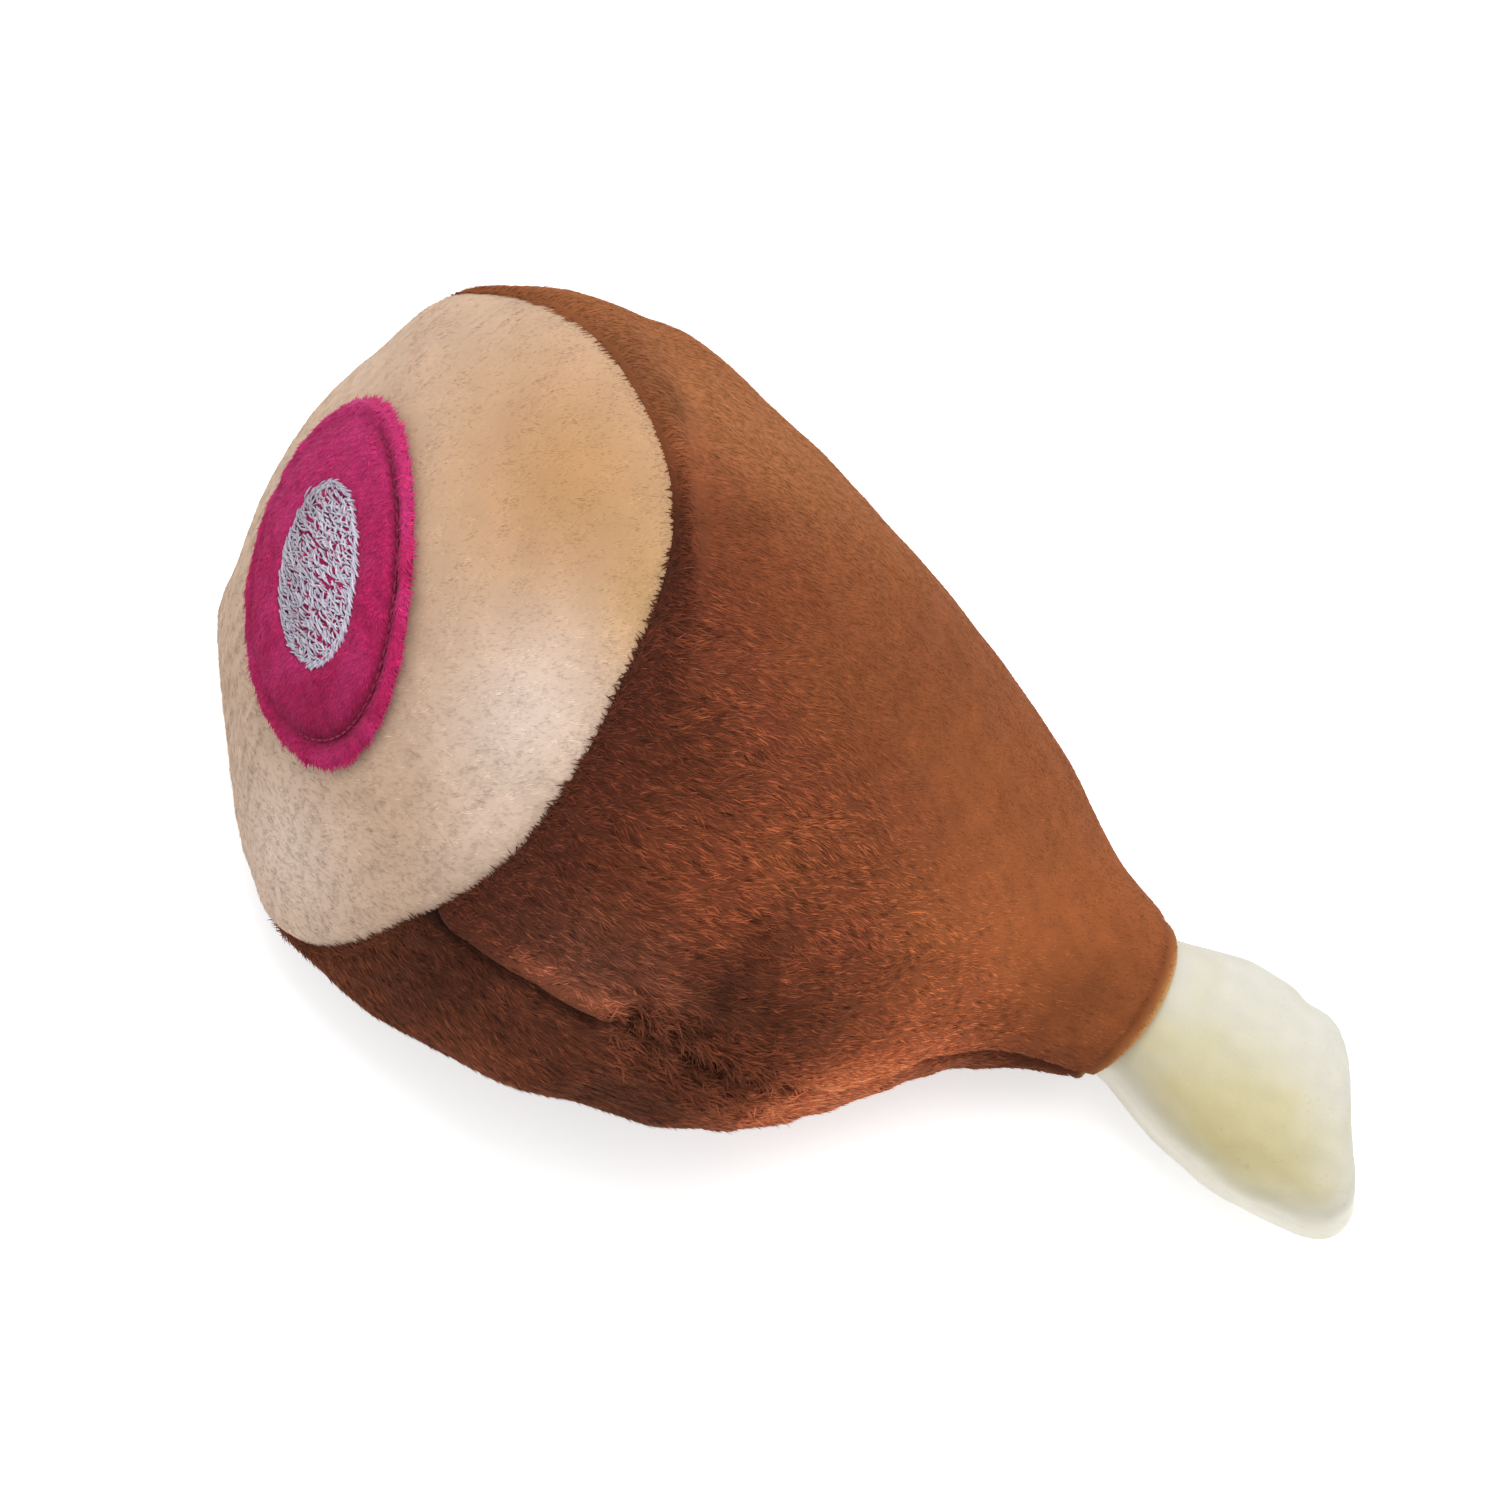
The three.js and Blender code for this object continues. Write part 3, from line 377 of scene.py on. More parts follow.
@dataclass(frozen=True)
class HamForm:
    """Domed face and stuffed leg, with the sizes of the part's source, in mm and degrees."""

    dome_radius: float = 69.8
    dome_centre_depth: float = 47.0
    dome_crown: float = 1.6
    dome_crown_turn: float = -50.0
    face_yaw: float = 25.0
    face_pitch: float = 38.0
    face_seam_angle: float = 45.0
    face_seam_shares: tuple[float, ...] = (
        0.978, 0.972, 1.024, 1.088, 1.01, 0.958, 0.904, 0.964, 1.022, 1.044, 1.033, 1.0,
    )
    leg_length: float = 110.0
    half_width: float = 50.0
    half_height: float = 45.0
    face_bulge: float = 11.0
    neck_radius: float = 12.3
    neck_yaw: float = -6.0
    neck_pitch: float = 9.0
    section_shares: tuple[tuple[float, ...], ...] = (
        (0.164, -0.018, 0.018, 1.12, 1.096, 1.067, 0.986),
        (0.364, -0.027, 0.045, 1.04, 0.984, 0.933, 0.85),
        (0.564, -0.036, 0.091, 0.85, 0.84, 0.756, 0.705),
        (0.727, -0.036, 0.136, 0.63, 0.586, 0.556, 0.511),
        (0.845, -0.027, 0.173, 0.426, 0.36, 0.378, 0.356),
    )
    section_angles: tuple[tuple[float, float], ...] = ((20, 28), (12, 18), (5, 12), (0, 10), (-3, 9))
    neck_place_shares: tuple[float, float, float] = (0.979, -0.02, 0.209)
    neck_rim_angle: float = 19.0
    cloth: float = 1.6
    clearance: float = 0.3
    floor_press: float = 2.6
    floor_easing: float = 1.5

    @property
    def face(self) -> Directions:
        """Directions of the domed face."""
        return Directions(self.face_yaw, self.face_pitch)

    @property
    def dome_centre(self) -> Array:
        """Middle of the ball that the dome is a cap of."""
        return -self.dome_centre_depth * self.face.face

    @property
    def neck(self) -> Directions:
        """Directions of the neck's ring."""
        return Directions(self.neck_yaw, self.neck_pitch)

    @property
    def neck_centre(self) -> Array:
        """Middle of the neck's rim."""
        along, across, drop = self.neck_place_shares
        return self.leg_length * np.array([along, across, -drop])

    @property
    def neck_hole_radius(self) -> float:
        """Radius inside the neck's rim."""
        return self.neck_radius - self.cloth - self.clearance

    @property
    def neck_pivot(self) -> Array:
        """Middle of the bone's ball, which the neck bends about."""
        out = self.neck_hole_radius * math.tan(math.radians(self.neck_rim_angle))
        return self.neck_centre - self.neck.face * out

    @property
    def floor_level(self) -> float:
        """Height that the floor presses the leg up to."""
        t, turn = np.meshgrid(np.linspace(0, 1, 25), np.linspace(0, 2 * np.pi, 33), indexing="ij")
        return float(self._free_leg(t, turn)[..., 2].min()) + self.floor_press

    def seam_angle(self, turn: Array) -> Array:
        """Angle from the dome's top to its seam, in radians."""
        return math.radians(self.face_seam_angle) * round_table(self.face_seam_shares, turn)

    def dome_way(self, angle: Array, turn: Array) -> Array:
        """Direction from the dome's middle at an angle from its top and a turn round it."""
        angle, turn = np.broadcast_arrays(angle, turn)
        ways = self.face
        return (
            np.cos(angle)[..., None] * ways.face
            + (np.sin(angle) * np.cos(turn))[..., None] * ways.level
            + (np.sin(angle) * np.sin(turn))[..., None] * ways.up
        )

    def _free_dome(self, angle: Array, turn: Array, lift: Array | float) -> Array:
        """Dome off the floor: a ball's cap with a crown that fades out at the seam."""
        share = np.minimum(angle / self.seam_angle(turn), 1.0)
        lean = 0.5 + 0.5 * share * np.cos(turn - math.radians(self.dome_crown_turn))
        crown = self.dome_crown * (1 - share**6) * lean
        reach = self.dome_radius + crown + lift
        return self.dome_centre + self.dome_way(angle, turn) * reach[..., None]

    def _free_leg(self, t: Array, turn: Array) -> Array:
        """Leg off the floor: a skin through the seam, five sections and the neck's ring."""
        sections = sections_from(
            self.section_shares, self.section_angles, np.zeros(3), self.leg_length,
            self.half_width, self.half_height,
        )
        r = self.neck_radius
        sections.append(Section(self.neck_centre, self.neck_yaw, self.neck_pitch, r, r, r, r))
        seam = self._free_dome(self.seam_angle(turn), turn, np.zeros_like(turn))
        rings = np.stack([seam, *(section.ring(turn) for section in sections)])
        before = 2 * rings[0] - rings[1] - 2 * self.face_bulge * self.face.spoke(turn)
        return through_rings(rings, before, t)

    def pressed(self, points: Array, lift: Array | float, floor: float) -> Array:
        """Points with the floor pushing up what lies below it, less and less with the height above it."""
        height = points[..., 2] - floor - lift
        raised = points.copy()
        raised[..., 2] += (height + np.hypot(height, self.floor_easing)) / 2 - height
        return raised

    def dome(self, angle: Array, turn: Array, lift: Array | float = 0.0) -> Array:
        """Points of the dome as it lies on the floor."""
        angle, turn, lift = np.broadcast_arrays(*map(np.asarray, (angle, turn, lift)))
        return self.pressed(self._free_dome(angle, turn, lift.astype(float)), lift, FLOOR_LEVEL)

    def leg(self, t: Array, turn: Array) -> Array:
        """Points of the leg as it lies on the floor."""
        t, turn = np.broadcast_arrays(*map(np.asarray, (t, turn)))
        return self.pressed(self._free_leg(t.astype(float), turn.astype(float)), 0.0, FLOOR_LEVEL)

    def dome_place(self, x: Array, y: Array, lift: Array | float = 0.0) -> Array:
        """Points of the dome by their distances from its top, along the level way and up the face."""
        return self.dome(np.hypot(x, y) / self.dome_radius, np.arctan2(y, x), lift)

    def leg_out(self, t: Array, turn: Array) -> Array:
        """Outward direction of the leg's skin, across its slopes along and round the leg."""
        step = 1e-3
        low = np.clip(t - step, 0, 1 - 2 * step)
        along = self.leg(low + 2 * step, turn) - self.leg(low, turn)
        around = self.leg(t, turn + step) - self.leg(t, turn - step)
        return unit(np.cross(around, along))

    def seam_mitre(self, turn: Array) -> Array:
        """Way into the stuffing at the face's seam: halfway between the dome's and the leg's inward ways."""
        dome_out = self.dome_way(self.seam_angle(turn), turn)
        leg_out = self.leg_out(np.zeros_like(turn), turn)
        dots = (dome_out * leg_out).sum(-1, keepdims=True)
        return -(dome_out + leg_out) / (1 + dots)


HAM = HamForm()
FLOOR_LEVEL = HAM.floor_level
# Where the stuffing pushes the face's seam out, turn and width in degrees, height in mm, and how far in.
SEAM_CORNERS = ((-138, 19, 1.5), (8, 10, 0.9))
SEAM_SWELL_WIDTH = 9.0


def seam_swell(turn: Array, from_seam: Array) -> Array:
    """How the stuffing pushes the face's seam out at two of its corners, as vectors in mm."""
    amount = sum(height * bell(turn_from(turn, around), 0, wide) for around, wide, height in SEAM_CORNERS)
    return -HAM.seam_mitre(turn) * (amount * bell(from_seam, 0, SEAM_SWELL_WIDTH))[..., None]


@dataclass(frozen=True)
class BoneForm:
    """Bone stub: a ball in the neck, a flaring shaft and a rounded skew end, in mm and degrees."""

    length: float = 32.0
    half_width: float = 15.0
    half_height: float = 12.0
    end_rounding: float = 6.0
    section_shares: tuple[tuple[float, ...], ...] = (
        (0.353, -0.051, 0.04, 0.95, 1.0, 0.983, 0.958),
        (0.622, -0.095, 0.065, 1.07, 1.11, 1.0, 0.983),
        (0.806, -0.132, 0.07, 1.12, 1.06, 0.967, 0.933),
    )
    section_angles: tuple[tuple[float, float], ...] = ((0, 8), (12, 6), (26, 5))
    ball_opening: float = 60.0

    @property
    def ball_radius(self) -> float:
        """Radius of the ball that fills the neck's opening."""
        return HAM.neck_hole_radius / math.cos(math.radians(HAM.neck_rim_angle))

    def skin(self, way: Array, turn: Array) -> Array:
        """Points of the bone: way -1 to 0 over the ball, 0 to 1 along the shaft, 1 to 2 over the end.

        Args:
            way: place along the bone.
            turn: turn round it in radians.

        Returns:
            Points in mm.
        """
        way, turn = np.broadcast_arrays(way, turn)
        pivot, out = HAM.neck_pivot, -HAM.neck.face
        angle = np.radians(self.ball_opening) * np.clip(way, -1, 0)
        reach = self.ball_radius * np.cos(angle)[..., None]
        ball = pivot + out * self.ball_radius * np.sin(angle)[..., None] + reach * HAM.neck.spoke(turn)
        sections = sections_from(
            self.section_shares, self.section_angles, pivot, self.length, self.half_width, self.half_height
        )
        r = self.ball_radius
        start = Section(pivot, HAM.neck_yaw, HAM.neck_pitch, r, r, r, r)
        rings = np.stack([section.ring(turn) for section in (start, *sections)])
        shaft = through_rings(rings, 2 * rings[0] - rings[1], np.clip(way, 0, 1).astype(float))
        end = sections[-1]
        end_out = -Directions(end.yaw, end.pitch).face
        ring = end.ring(turn)
        away = ring - end.centre
        size = np.linalg.norm(away, axis=-1, keepdims=True)
        lean = np.clip((way - 1) / 0.6, 0, 1) * np.pi / 2
        c, s = np.cos(lean)[..., None], np.sin(lean)[..., None]
        flat = np.clip((way - 1.6) / 0.4, 0, 1)[..., None]
        radial = (size - self.end_rounding * (1 - c)) * (1 - flat)
        cap = end.centre + away / size * radial + end_out * (self.end_rounding * s + 0.3 * flat)
        cap = np.where((way >= 1.999)[..., None], end.centre + end_out * (self.end_rounding + 0.3), cap)
        return np.where((way < 0)[..., None], ball, np.where((way > 1)[..., None], cap, shaft))


BONE = BoneForm()


@dataclass
class Placing:
    """Where the toy's own millimetres lie in the row's frame."""

    shift: Array | None = None

    def find(self) -> None:
        """Works out the shift from the face's middle to the row's frame, from the squeaker bulb's box."""
        low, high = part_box("squeaker_bulb")
        bulb = np.array([(low.x + high.x) / 2, (low.y + high.y) / 2, low.z])
        self.shift = bulb - SQUEAKER_PLACE * MM
        LOG.info("shift %s m, rest level %.3f mm", self.shift, self.rest_level)

    @property
    def rest_level(self) -> float:
        """Height of the floor in the toy's own millimetres."""
        return float(-self.shift[2] / MM)

    def metres(self, points: Array) -> Array:
        """Points in the row's frame."""
        return points * MM + self.shift


# Middle of the squeaker bulb's base.
SQUEAKER_PLACE = HAM.leg_length * np.array([0.2, -0.018, -0.11]) - np.array([0, 0, 11.0])
PLACING = Placing()


# Meshes


@dataclass
class Cut:
    """Triangles with a tone at each point, in mm, and the pile's own shading directions."""

    points: Array
    faces: Array
    tone: Array
    shaded: Array | None = None

    def outward(self, sample: Array | None = None) -> "Cut":
        """The same triangles turned outwards, by the sign of the volume that a sample or all of them hold."""
        sample = self.faces if sample is None else sample
        points = self.points[: sample.max() + 1]
        a, b, c = ((points - points.mean(0))[sample[:, k]] for k in range(3))
        return self if (a * np.cross(b, c)).sum() >= 0 else replace(self, faces=self.faces[:, ::-1])

    def above_floor(self) -> "Cut":
        """The same triangles, flat where the floor would cut them."""
        points = self.points.copy()
        points[:, 2] = np.maximum(points[:, 2], PLACING.rest_level)
        return replace(self, points=points)


def cleaned(points: Array, faces: Array, tone: Array) -> Cut:
    """A cut that points outwards, without triangles whose corners meet or points that none uses."""
    a, b, c = faces.T
    used, renumbered = np.unique(faces[(a != b) & (b != c) & (c != a)], return_inverse=True)
    return Cut(points[used], renumbered.reshape(-1, 3), tone[used]).outward()


def joined(cuts: Sequence[Cut]) -> Cut:
    """Several cuts as one. A shading direction is nought where the mesh decides."""
    starts = np.cumsum([0] + [len(cut.points) for cut in cuts[:-1]])
    return Cut(
        np.concatenate([cut.points for cut in cuts]),
        np.concatenate([cut.faces + start for cut, start in zip(cuts, starts)]),
        np.concatenate([cut.tone for cut in cuts]),
        np.concatenate([np.zeros_like(cut.points) if cut.shaded is None else cut.shaded for cut in cuts]),
    )


def grid_faces(index: Array, wraps: bool) -> Array:
    """Two triangles for each cell of a grid of point numbers."""
    here = index if wraps else index[:, :-1]
    aside = np.roll(index, -1, axis=1) if wraps else index[:, 1:]
    a, b, c, d = here[:-1], aside[:-1], aside[1:], here[1:]
    return np.concatenate(
        [np.stack([a, b, c], -1).reshape(-1, 3), np.stack([a, c, d], -1).reshape(-1, 3)]
    )


def shell(front: Array, back: Array, wraps: bool, front_tone: Array, back_tone: Array) -> Cut:
    """Closed sheet between two grids of points, with a rim along every open border.

    Rows whose points all fall together become one point, so a pole is closed.

    Args:
        front: (rows, columns, 3) points of the face.
        back: points of the back, on the same grid.
        wraps: whether the columns close on themselves.
        front_tone: (rows, columns, 3) linear colours of the face.
        back_tone: linear colour of the back, or one for each of its points in order.

    Returns:
        The closed sheet.
    """
    rows, columns = front.shape[:2]
    index = np.arange(rows * columns).reshape(rows, columns)
    sides = []
    for grid, start in ((front, 0), (back, rows * columns)):
        numbers = index + start
        for row in (0, rows - 1):
            if np.ptp(grid[row], axis=0).max() < 1e-6:
                numbers[row] = numbers[row, 0]
        sides.append(numbers)
    top, under = sides
    faces = [grid_faces(top, wraps), grid_faces(under, wraps)[:, ::-1]]
    faces.append(grid_faces(np.stack([top[0], under[0]]), wraps)[:, ::-1])
    faces.append(grid_faces(np.stack([top[-1], under[-1]]), wraps))
    if not wraps:
        faces.append(grid_faces(np.stack([top[:, 0], under[:, 0]]), False))
        faces.append(grid_faces(np.stack([top[:, -1], under[:, -1]]), False)[:, ::-1])
    points = np.concatenate([front.reshape(-1, 3), back.reshape(-1, 3)])
    under_tone = np.broadcast_to(back_tone, (rows * columns, 3))
    return cleaned(points, np.concatenate(faces), np.concatenate([front_tone.reshape(-1, 3), under_tone]))


# How far a thread's pointed end stands out, as a share of its radius.
THREAD_END_SHARE = 0.6


def copied(one: Array, count: int, each: int) -> Array:
    """Faces of many parts alike, each with its own run of points, from the faces of the first one."""
    return (one[None] + (np.arange(count) * each)[:, None, None]).reshape(-1, 3)


def tubes(paths: Array, radii: Array, up: Array, sides: int, tone: Array) -> Cut:
    """Round threads along many short paths, each closed at both ends by a point.

    Each ring is path + radius times (cos(angle) side way + sin(angle) upper way), where the side way is
    across the path and the up direction.

    Args:
        paths: (threads, points, 3) middles.
        radii: (threads, points) radii.
        up: (threads, 3) or (threads, points, 3) rough up directions.
        sides: sides of each ring.
        tone: (threads, 3) linear colours, or one for all threads.

    Returns:
        All threads in one cut.
    """
    count, steps = paths.shape[:2]
    if up.ndim == 2:
        up = np.repeat(up[:, None], steps, axis=1)
    way = unit(np.gradient(paths, axis=1))
    side = unit(np.cross(way, up))
    upper = np.cross(side, way)
    angle = even_turns(sides)[:, None]
    ring = np.cos(angle) * side[:, :, None] + np.sin(angle) * upper[:, :, None]
    rings = paths[:, :, None] + radii[:, :, None, None] * ring
    nose = paths[:, 0] - way[:, 0] * radii[:, :1] * THREAD_END_SHARE
    tail = paths[:, -1] + way[:, -1] * radii[:, -1:] * THREAD_END_SHARE
    each = steps * sides + 2
    points = np.concatenate([rings.reshape(count, -1, 3), nose[:, None], tail[:, None]], axis=1)
    body = grid_faces(np.arange(steps * sides).reshape(steps, sides), True)
    ends = np.arange(sides)
    after = (ends + 1) % sides
    last = (steps - 1) * sides
    start_fan = np.stack([np.full(sides, each - 2), after, ends], -1)
    end_fan = np.stack([np.full(sides, each - 1), last + ends, last + after], -1)
    one = np.concatenate([body, start_fan, end_fan])
    tones = np.repeat(np.broadcast_to(tone, (count, 3)), each, axis=0)
    return Cut(points.reshape(-1, 3), copied(one, count, each), tones).outward(one)


def turned(profile: Array, sides: int, tone: Array, place: Array) -> Cut:
    """Solid of revolution: each (radius, height) of a closed profile is carried round an upright axis."""
    turn = even_turns(sides)
    radius, height = profile[:, :1], profile[:, 1:]
    points = np.stack([radius * np.cos(turn), radius * np.sin(turn), np.repeat(height, sides, axis=1)], -1)
    index = np.arange(points.shape[0] * sides).reshape(-1, sides)
    on_axis = profile[:, 0] < 1e-9
    index[on_axis] = index[on_axis][:, :1]
    points = points.reshape(-1, 3) + place
    faces = grid_faces(np.concatenate([index, index[:1]]), True)
    return cleaned(points, faces, np.broadcast_to(tone, points.shape))


def linked(name: str, data: bpy.types.ID) -> Object:
    """A new object of a mesh, lamp or camera, linked to the scene."""
    made = bpy.data.objects.new(name, data)
    bpy.context.scene.collection.objects.link(made)
    return made


def piece_from(name: str, cut: Cut, material: Material, smooth: bool = True) -> Object:
    """Makes the Blender object of a cut, with its place in its mesh.

    Args:
        name: name of the object.
        cut: triangles in mm.
        material: its only material.
        smooth: whether faces are shaded smooth.

    Returns:
        The object, linked to the scene.
    """
    mesh = bpy.data.meshes.new(name)
    mesh.vertices.add(len(cut.points))
    mesh.loops.add(cut.faces.size)
    mesh.polygons.add(len(cut.faces))
    placed = PLACING.metres(cut.points)
    mesh.vertices.foreach_set("co", placed.astype(np.float32).ravel())
    mesh.loops.foreach_set("vertex_index", cut.faces.astype(np.int32).ravel())
    mesh.polygons.foreach_set("loop_start", np.arange(0, cut.faces.size, 3, dtype=np.int32))
    mesh.update(calc_edges=True)
    mesh.polygons.foreach_set("use_smooth", np.full(len(cut.faces), smooth))
    colours = np.concatenate([np.clip(cut.tone, 0, 1), np.ones((len(cut.tone), 1))], axis=1)
    attribute = mesh.attributes.new(PILE_ATTRIBUTE, "FLOAT_COLOR", "POINT")
    attribute.data.foreach_set("color", colours.astype(np.float32).ravel())
    mesh.materials.append(material)
    mesh.update()
    if cut.shaded is not None:
        mesh.normals_split_custom_set_from_vertices(cut.shaded)
    return linked(name, mesh)


def grid_normals(points: Array, wraps: bool, outward_from: Array) -> Array:
    """Unit normals of a grid, across its slopes, turned away from a middle point."""
    along = np.gradient(points, axis=0)
    if wraps:
        around = np.roll(points, -1, axis=1) - np.roll(points, 1, axis=1)
    else:
        around = np.gradient(points, axis=1)
    normals = np.cross(along, around)
    for row in (0, -1):
        if np.abs(around[row]).max() < 1e-6:
            inner = 1 if row == 0 else -2
            normals[row] = normals[inner].mean(0)
    normals = unit(normals)
    out = (normals * (points - outward_from)).sum(-1)
    return normals * (1.0 if out.mean() > 0 else -1.0)


# Pile


@dataclass
class Skin:
    """Outer face of a cut of plush, on a grid: where it is and how its pile lies on it.

    Length and lean are shares of the pile's own. Density says how much of it grows there, and ruffle how
    rough it is and how strong its painted root shade and tip light are. Each is one number or one for every
    point.
    """

    points: Array
    normals: Array
    nap: Array
    tone: Array
    length: Array | float = 1.0
    lean: Array | float = 1.0
    density: Array | float = 1.0
    ruffle: Array | float = 1.0
    wraps: bool = False

    def __post_init__(self) -> None:
        """Spreads single numbers over the grid."""
        for name in ("length", "lean", "density", "ruffle"):
            setattr(self, name, np.broadcast_to(getattr(self, name), self.points.shape[:2]))


@dataclass(frozen=True)
class Pile:
    """Short knitted pile: tufts of fibre as thin spikes that lean with the nap. Sizes in mm."""

    length: float
    width: float
    per_square_mm: float
    lean: float = 24.0
    lean_spread: float = 9.0
    way_spread: float = 14.0
    sway: float = 16.0
    sway_spacing: float = 7.0
    tone_spread: float = 0.14
    root_shade: float = 0.5
    tip_light: float = 1.12
    streak_depth: float = 0.08
    seed: int = 1
    rooted: float = 0.12
    clump_spacing: float = 2.6
    clump_depth: float = 0.06
    streak_width: float = 0.9
    streak_length: float = 4.5

    def grow(self, skin: Skin) -> Cut:
        """Spikes spread evenly over a skin: a root triangle across the nap and a tip that leans along it.

        Tip = root + length times (cos(lean) nap + sin(lean) normal), with the nap turned by a smooth sway
        and by chance.

        Args:
            skin: the face that the pile grows on.

        Returns:
            The pile, each spike a closed solid of four triangles.
        """
        rng = np.random.default_rng(self.seed)
        columns = skin.points.shape[1]
        here = np.arange(columns if skin.wraps else columns - 1)
        after = (here + 1) % columns
        corners = lambda f: (f[:-1][:, here], f[:-1][:, after], f[1:][:, here], f[1:][:, after])
        a, b, c, d = corners(skin.points)
        area = np.linalg.norm(np.cross(d - a, c - b), axis=-1) / 2
        weight = area * sum(corners(skin.density)) / 4
        count = int(weight.sum() * self.per_square_mm)
        cells = rng.choice(weight.size, count, p=weight.ravel() / weight.sum())
        u, v = rng.random((2, count, 1))

        def at(values: Array) -> Array:
            """Values of a grid at the chosen places, straight between its points."""
            values = values[..., None] if values.ndim == 2 else values
            q = [corner.reshape(-1, values.shape[-1])[cells] for corner in corners(values)]
            return (q[0] * (1 - u) + q[1] * u) * (1 - v) + (q[2] * (1 - u) + q[3] * u) * v

        root, normal, nap = at(skin.points), unit(at(skin.normals)), at(skin.nap)
        nap = unit(nap - normal * (nap * normal).sum(-1, keepdims=True))
        sway = Ripples(self.sway_spacing, self.seed + 50)(root) * self.sway / 1.5
        ruffle = at(skin.ruffle)[:, 0]
        turn = np.radians(sway + rng.normal(size=count) * self.way_spread * ruffle)[:, None]
        nap = np.cos(turn) * nap + np.sin(turn) * np.cross(normal, nap)
        side = np.cross(normal, nap)
        lean = at(skin.lean)[:, 0] * self.lean + rng.normal(size=count) * self.lean_spread * ruffle
        lean = np.radians(np.clip(lean, 4, 85))[:, None]
        length = (self.length * at(skin.length)[:, 0] * rng.uniform(0.7, 1.25, count))[:, None]
        width = (self.width * rng.uniform(0.75, 1.3, count))[:, None]
        root = root - normal * self.rooted
        rough = np.clip(ruffle, 0, 1)[:, None]
        ridge = root + normal * (width * blended(0.25, 0.5, rough)) - nap * width * 0.2
        tip = root + length * (np.cos(lean) * nap + np.sin(lean) * normal)
        points = np.stack([root + side * width / 2, root - side * width / 2, ridge, tip], axis=1)
        faces = copied(np.array([[0, 2, 3], [2, 1, 3], [1, 0, 3], [0, 1, 2]]), count, 4)
        clump = 1 + self.clump_depth * Ripples(self.clump_spacing, self.seed + 60)(root)[:, None]
        streaks = Streaks(self.streak_width, self.streak_length, self.seed + 70)(root, unit(BROWN_NAP))
        streak = 1 + self.streak_depth * ruffle[:, None] * streaks[:, None]
        chance = 1 + self.tone_spread * ruffle[:, None] * rng.normal(size=(count, 1))
        tone = at(skin.tone) * clump * streak * chance
        shades = np.array([self.root_shade, self.root_shade, self.root_shade * 1.25, self.tip_light])
        shades = blended(1.0, shades[None], rough)
        tones = np.clip(tone[:, None] * shades[..., None], 0.001, 1)
        round_side = side * 0.75 * rough
        shaded = unit(
            np.stack([normal + round_side, normal - round_side, normal, normal + 0.15 * nap], axis=1)
        )
        return Cut(points.reshape(-1, 3), faces, tones.reshape(-1, 3), shaded.reshape(-1, 3))


# Finishes


def connect(tree: NodeTree, node: bpy.types.Node, links: dict) -> None:
    """Links a node's inputs, by name or number, to output sockets, or sets them to values."""
    for key, source in links.items():
        if isinstance(source, NodeSocket):
            tree.links.new(source, node.inputs[key])
        else:
            node.inputs[key].default_value = source


def add_node(tree: NodeTree, kind: str, links: dict | None = None, **settings) -> bpy.types.Node:
    """Adds a node with its settings, and links or sets its inputs, each given by name or number."""
    node = tree.nodes.new("ShaderNode" + kind)
    for key, value in settings.items():
        setattr(node, key, value)
    connect(tree, node, links or {})
    return node


def rgba(colour: Array) -> tuple[float, float, float, float]:
    """A linear colour with full alpha."""
    return (*map(float, colour), 1.0)


@dataclass(frozen=True)
class Finish:
    """What all finishes share: a pattern on the object's own place, and a bump of the same pattern."""

    name: str

    def start(self) -> tuple[Material, NodeTree, NodeSocket]:
        """The new material, its tree, and the place that its patterns read."""
        made = bpy.data.materials.new(self.name)
        made.use_nodes = True
        tree = made.node_tree
        return made, tree, add_node(tree, "TexCoord").outputs["Object"]

    def toned(self, tree: NodeTree, shading: dict) -> NodeSocket:
        """The piece's own colour from its attribute, times a shade that a pattern is mapped to."""
        tone = add_node(tree, "Attribute", attribute_name=PILE_ATTRIBUTE).outputs["Color"]
        shade = add_node(tree, "MapRange", shading).outputs["Result"]
        made = add_node(tree, "VectorMath", {0: tone, 1: shade}, operation="MULTIPLY")
        return made.outputs["Vector"]

    def end(
        self, tree: NodeTree, colour: NodeSocket, height: NodeSocket,
        strength: float, depth_mm: float, inputs: dict,
    ) -> None:
        """Gives the surface its colour, a bump of the pattern's height, and its other inputs."""
        bump = add_node(
            tree, "Bump", {"Height": height, "Strength": strength, "Distance": depth_mm * MM}
        )
        surface = tree.nodes["Principled BSDF"]
        connect(tree, surface, {"Base Color": colour, "Normal": bump.outputs["Normal"], **inputs})


@dataclass(frozen=True)
class Plush(Finish):
    """Knitted polyester plush, brushed and sheared: matt, with a soft sheen on the pile's flanks."""

    sheen: float
    sheen_colour: str
    fibre_mm: float
    fibre_contrast: float

    def material(self) -> Material:
        """The pile's own colour from its attribute, broken up at the size of a tuft of fibres."""
        made, tree, place = self.start()
        fibres = add_node(
            tree, "TexNoise",
            {"Vector": place, "Scale": 1 / (self.fibre_mm * MM), "Detail": 3.0, "Roughness": 0.6},
        ).outputs["Fac"]
        colour = self.toned(tree, {
            "Value": fibres, "From Min": 0.25, "From Max": 0.75,
            "To Min": 1 - self.fibre_contrast, "To Max": 1 + self.fibre_contrast,
        })
        self.end(tree, colour, fibres, 0.2, 0.1, {
            "Roughness": 0.9, "Specular IOR Level": 0.15, "Sheen Weight": self.sheen,
            "Sheen Roughness": 0.45, "Sheen Tint": rgba(linear(self.sheen_colour)),
        })
        return made


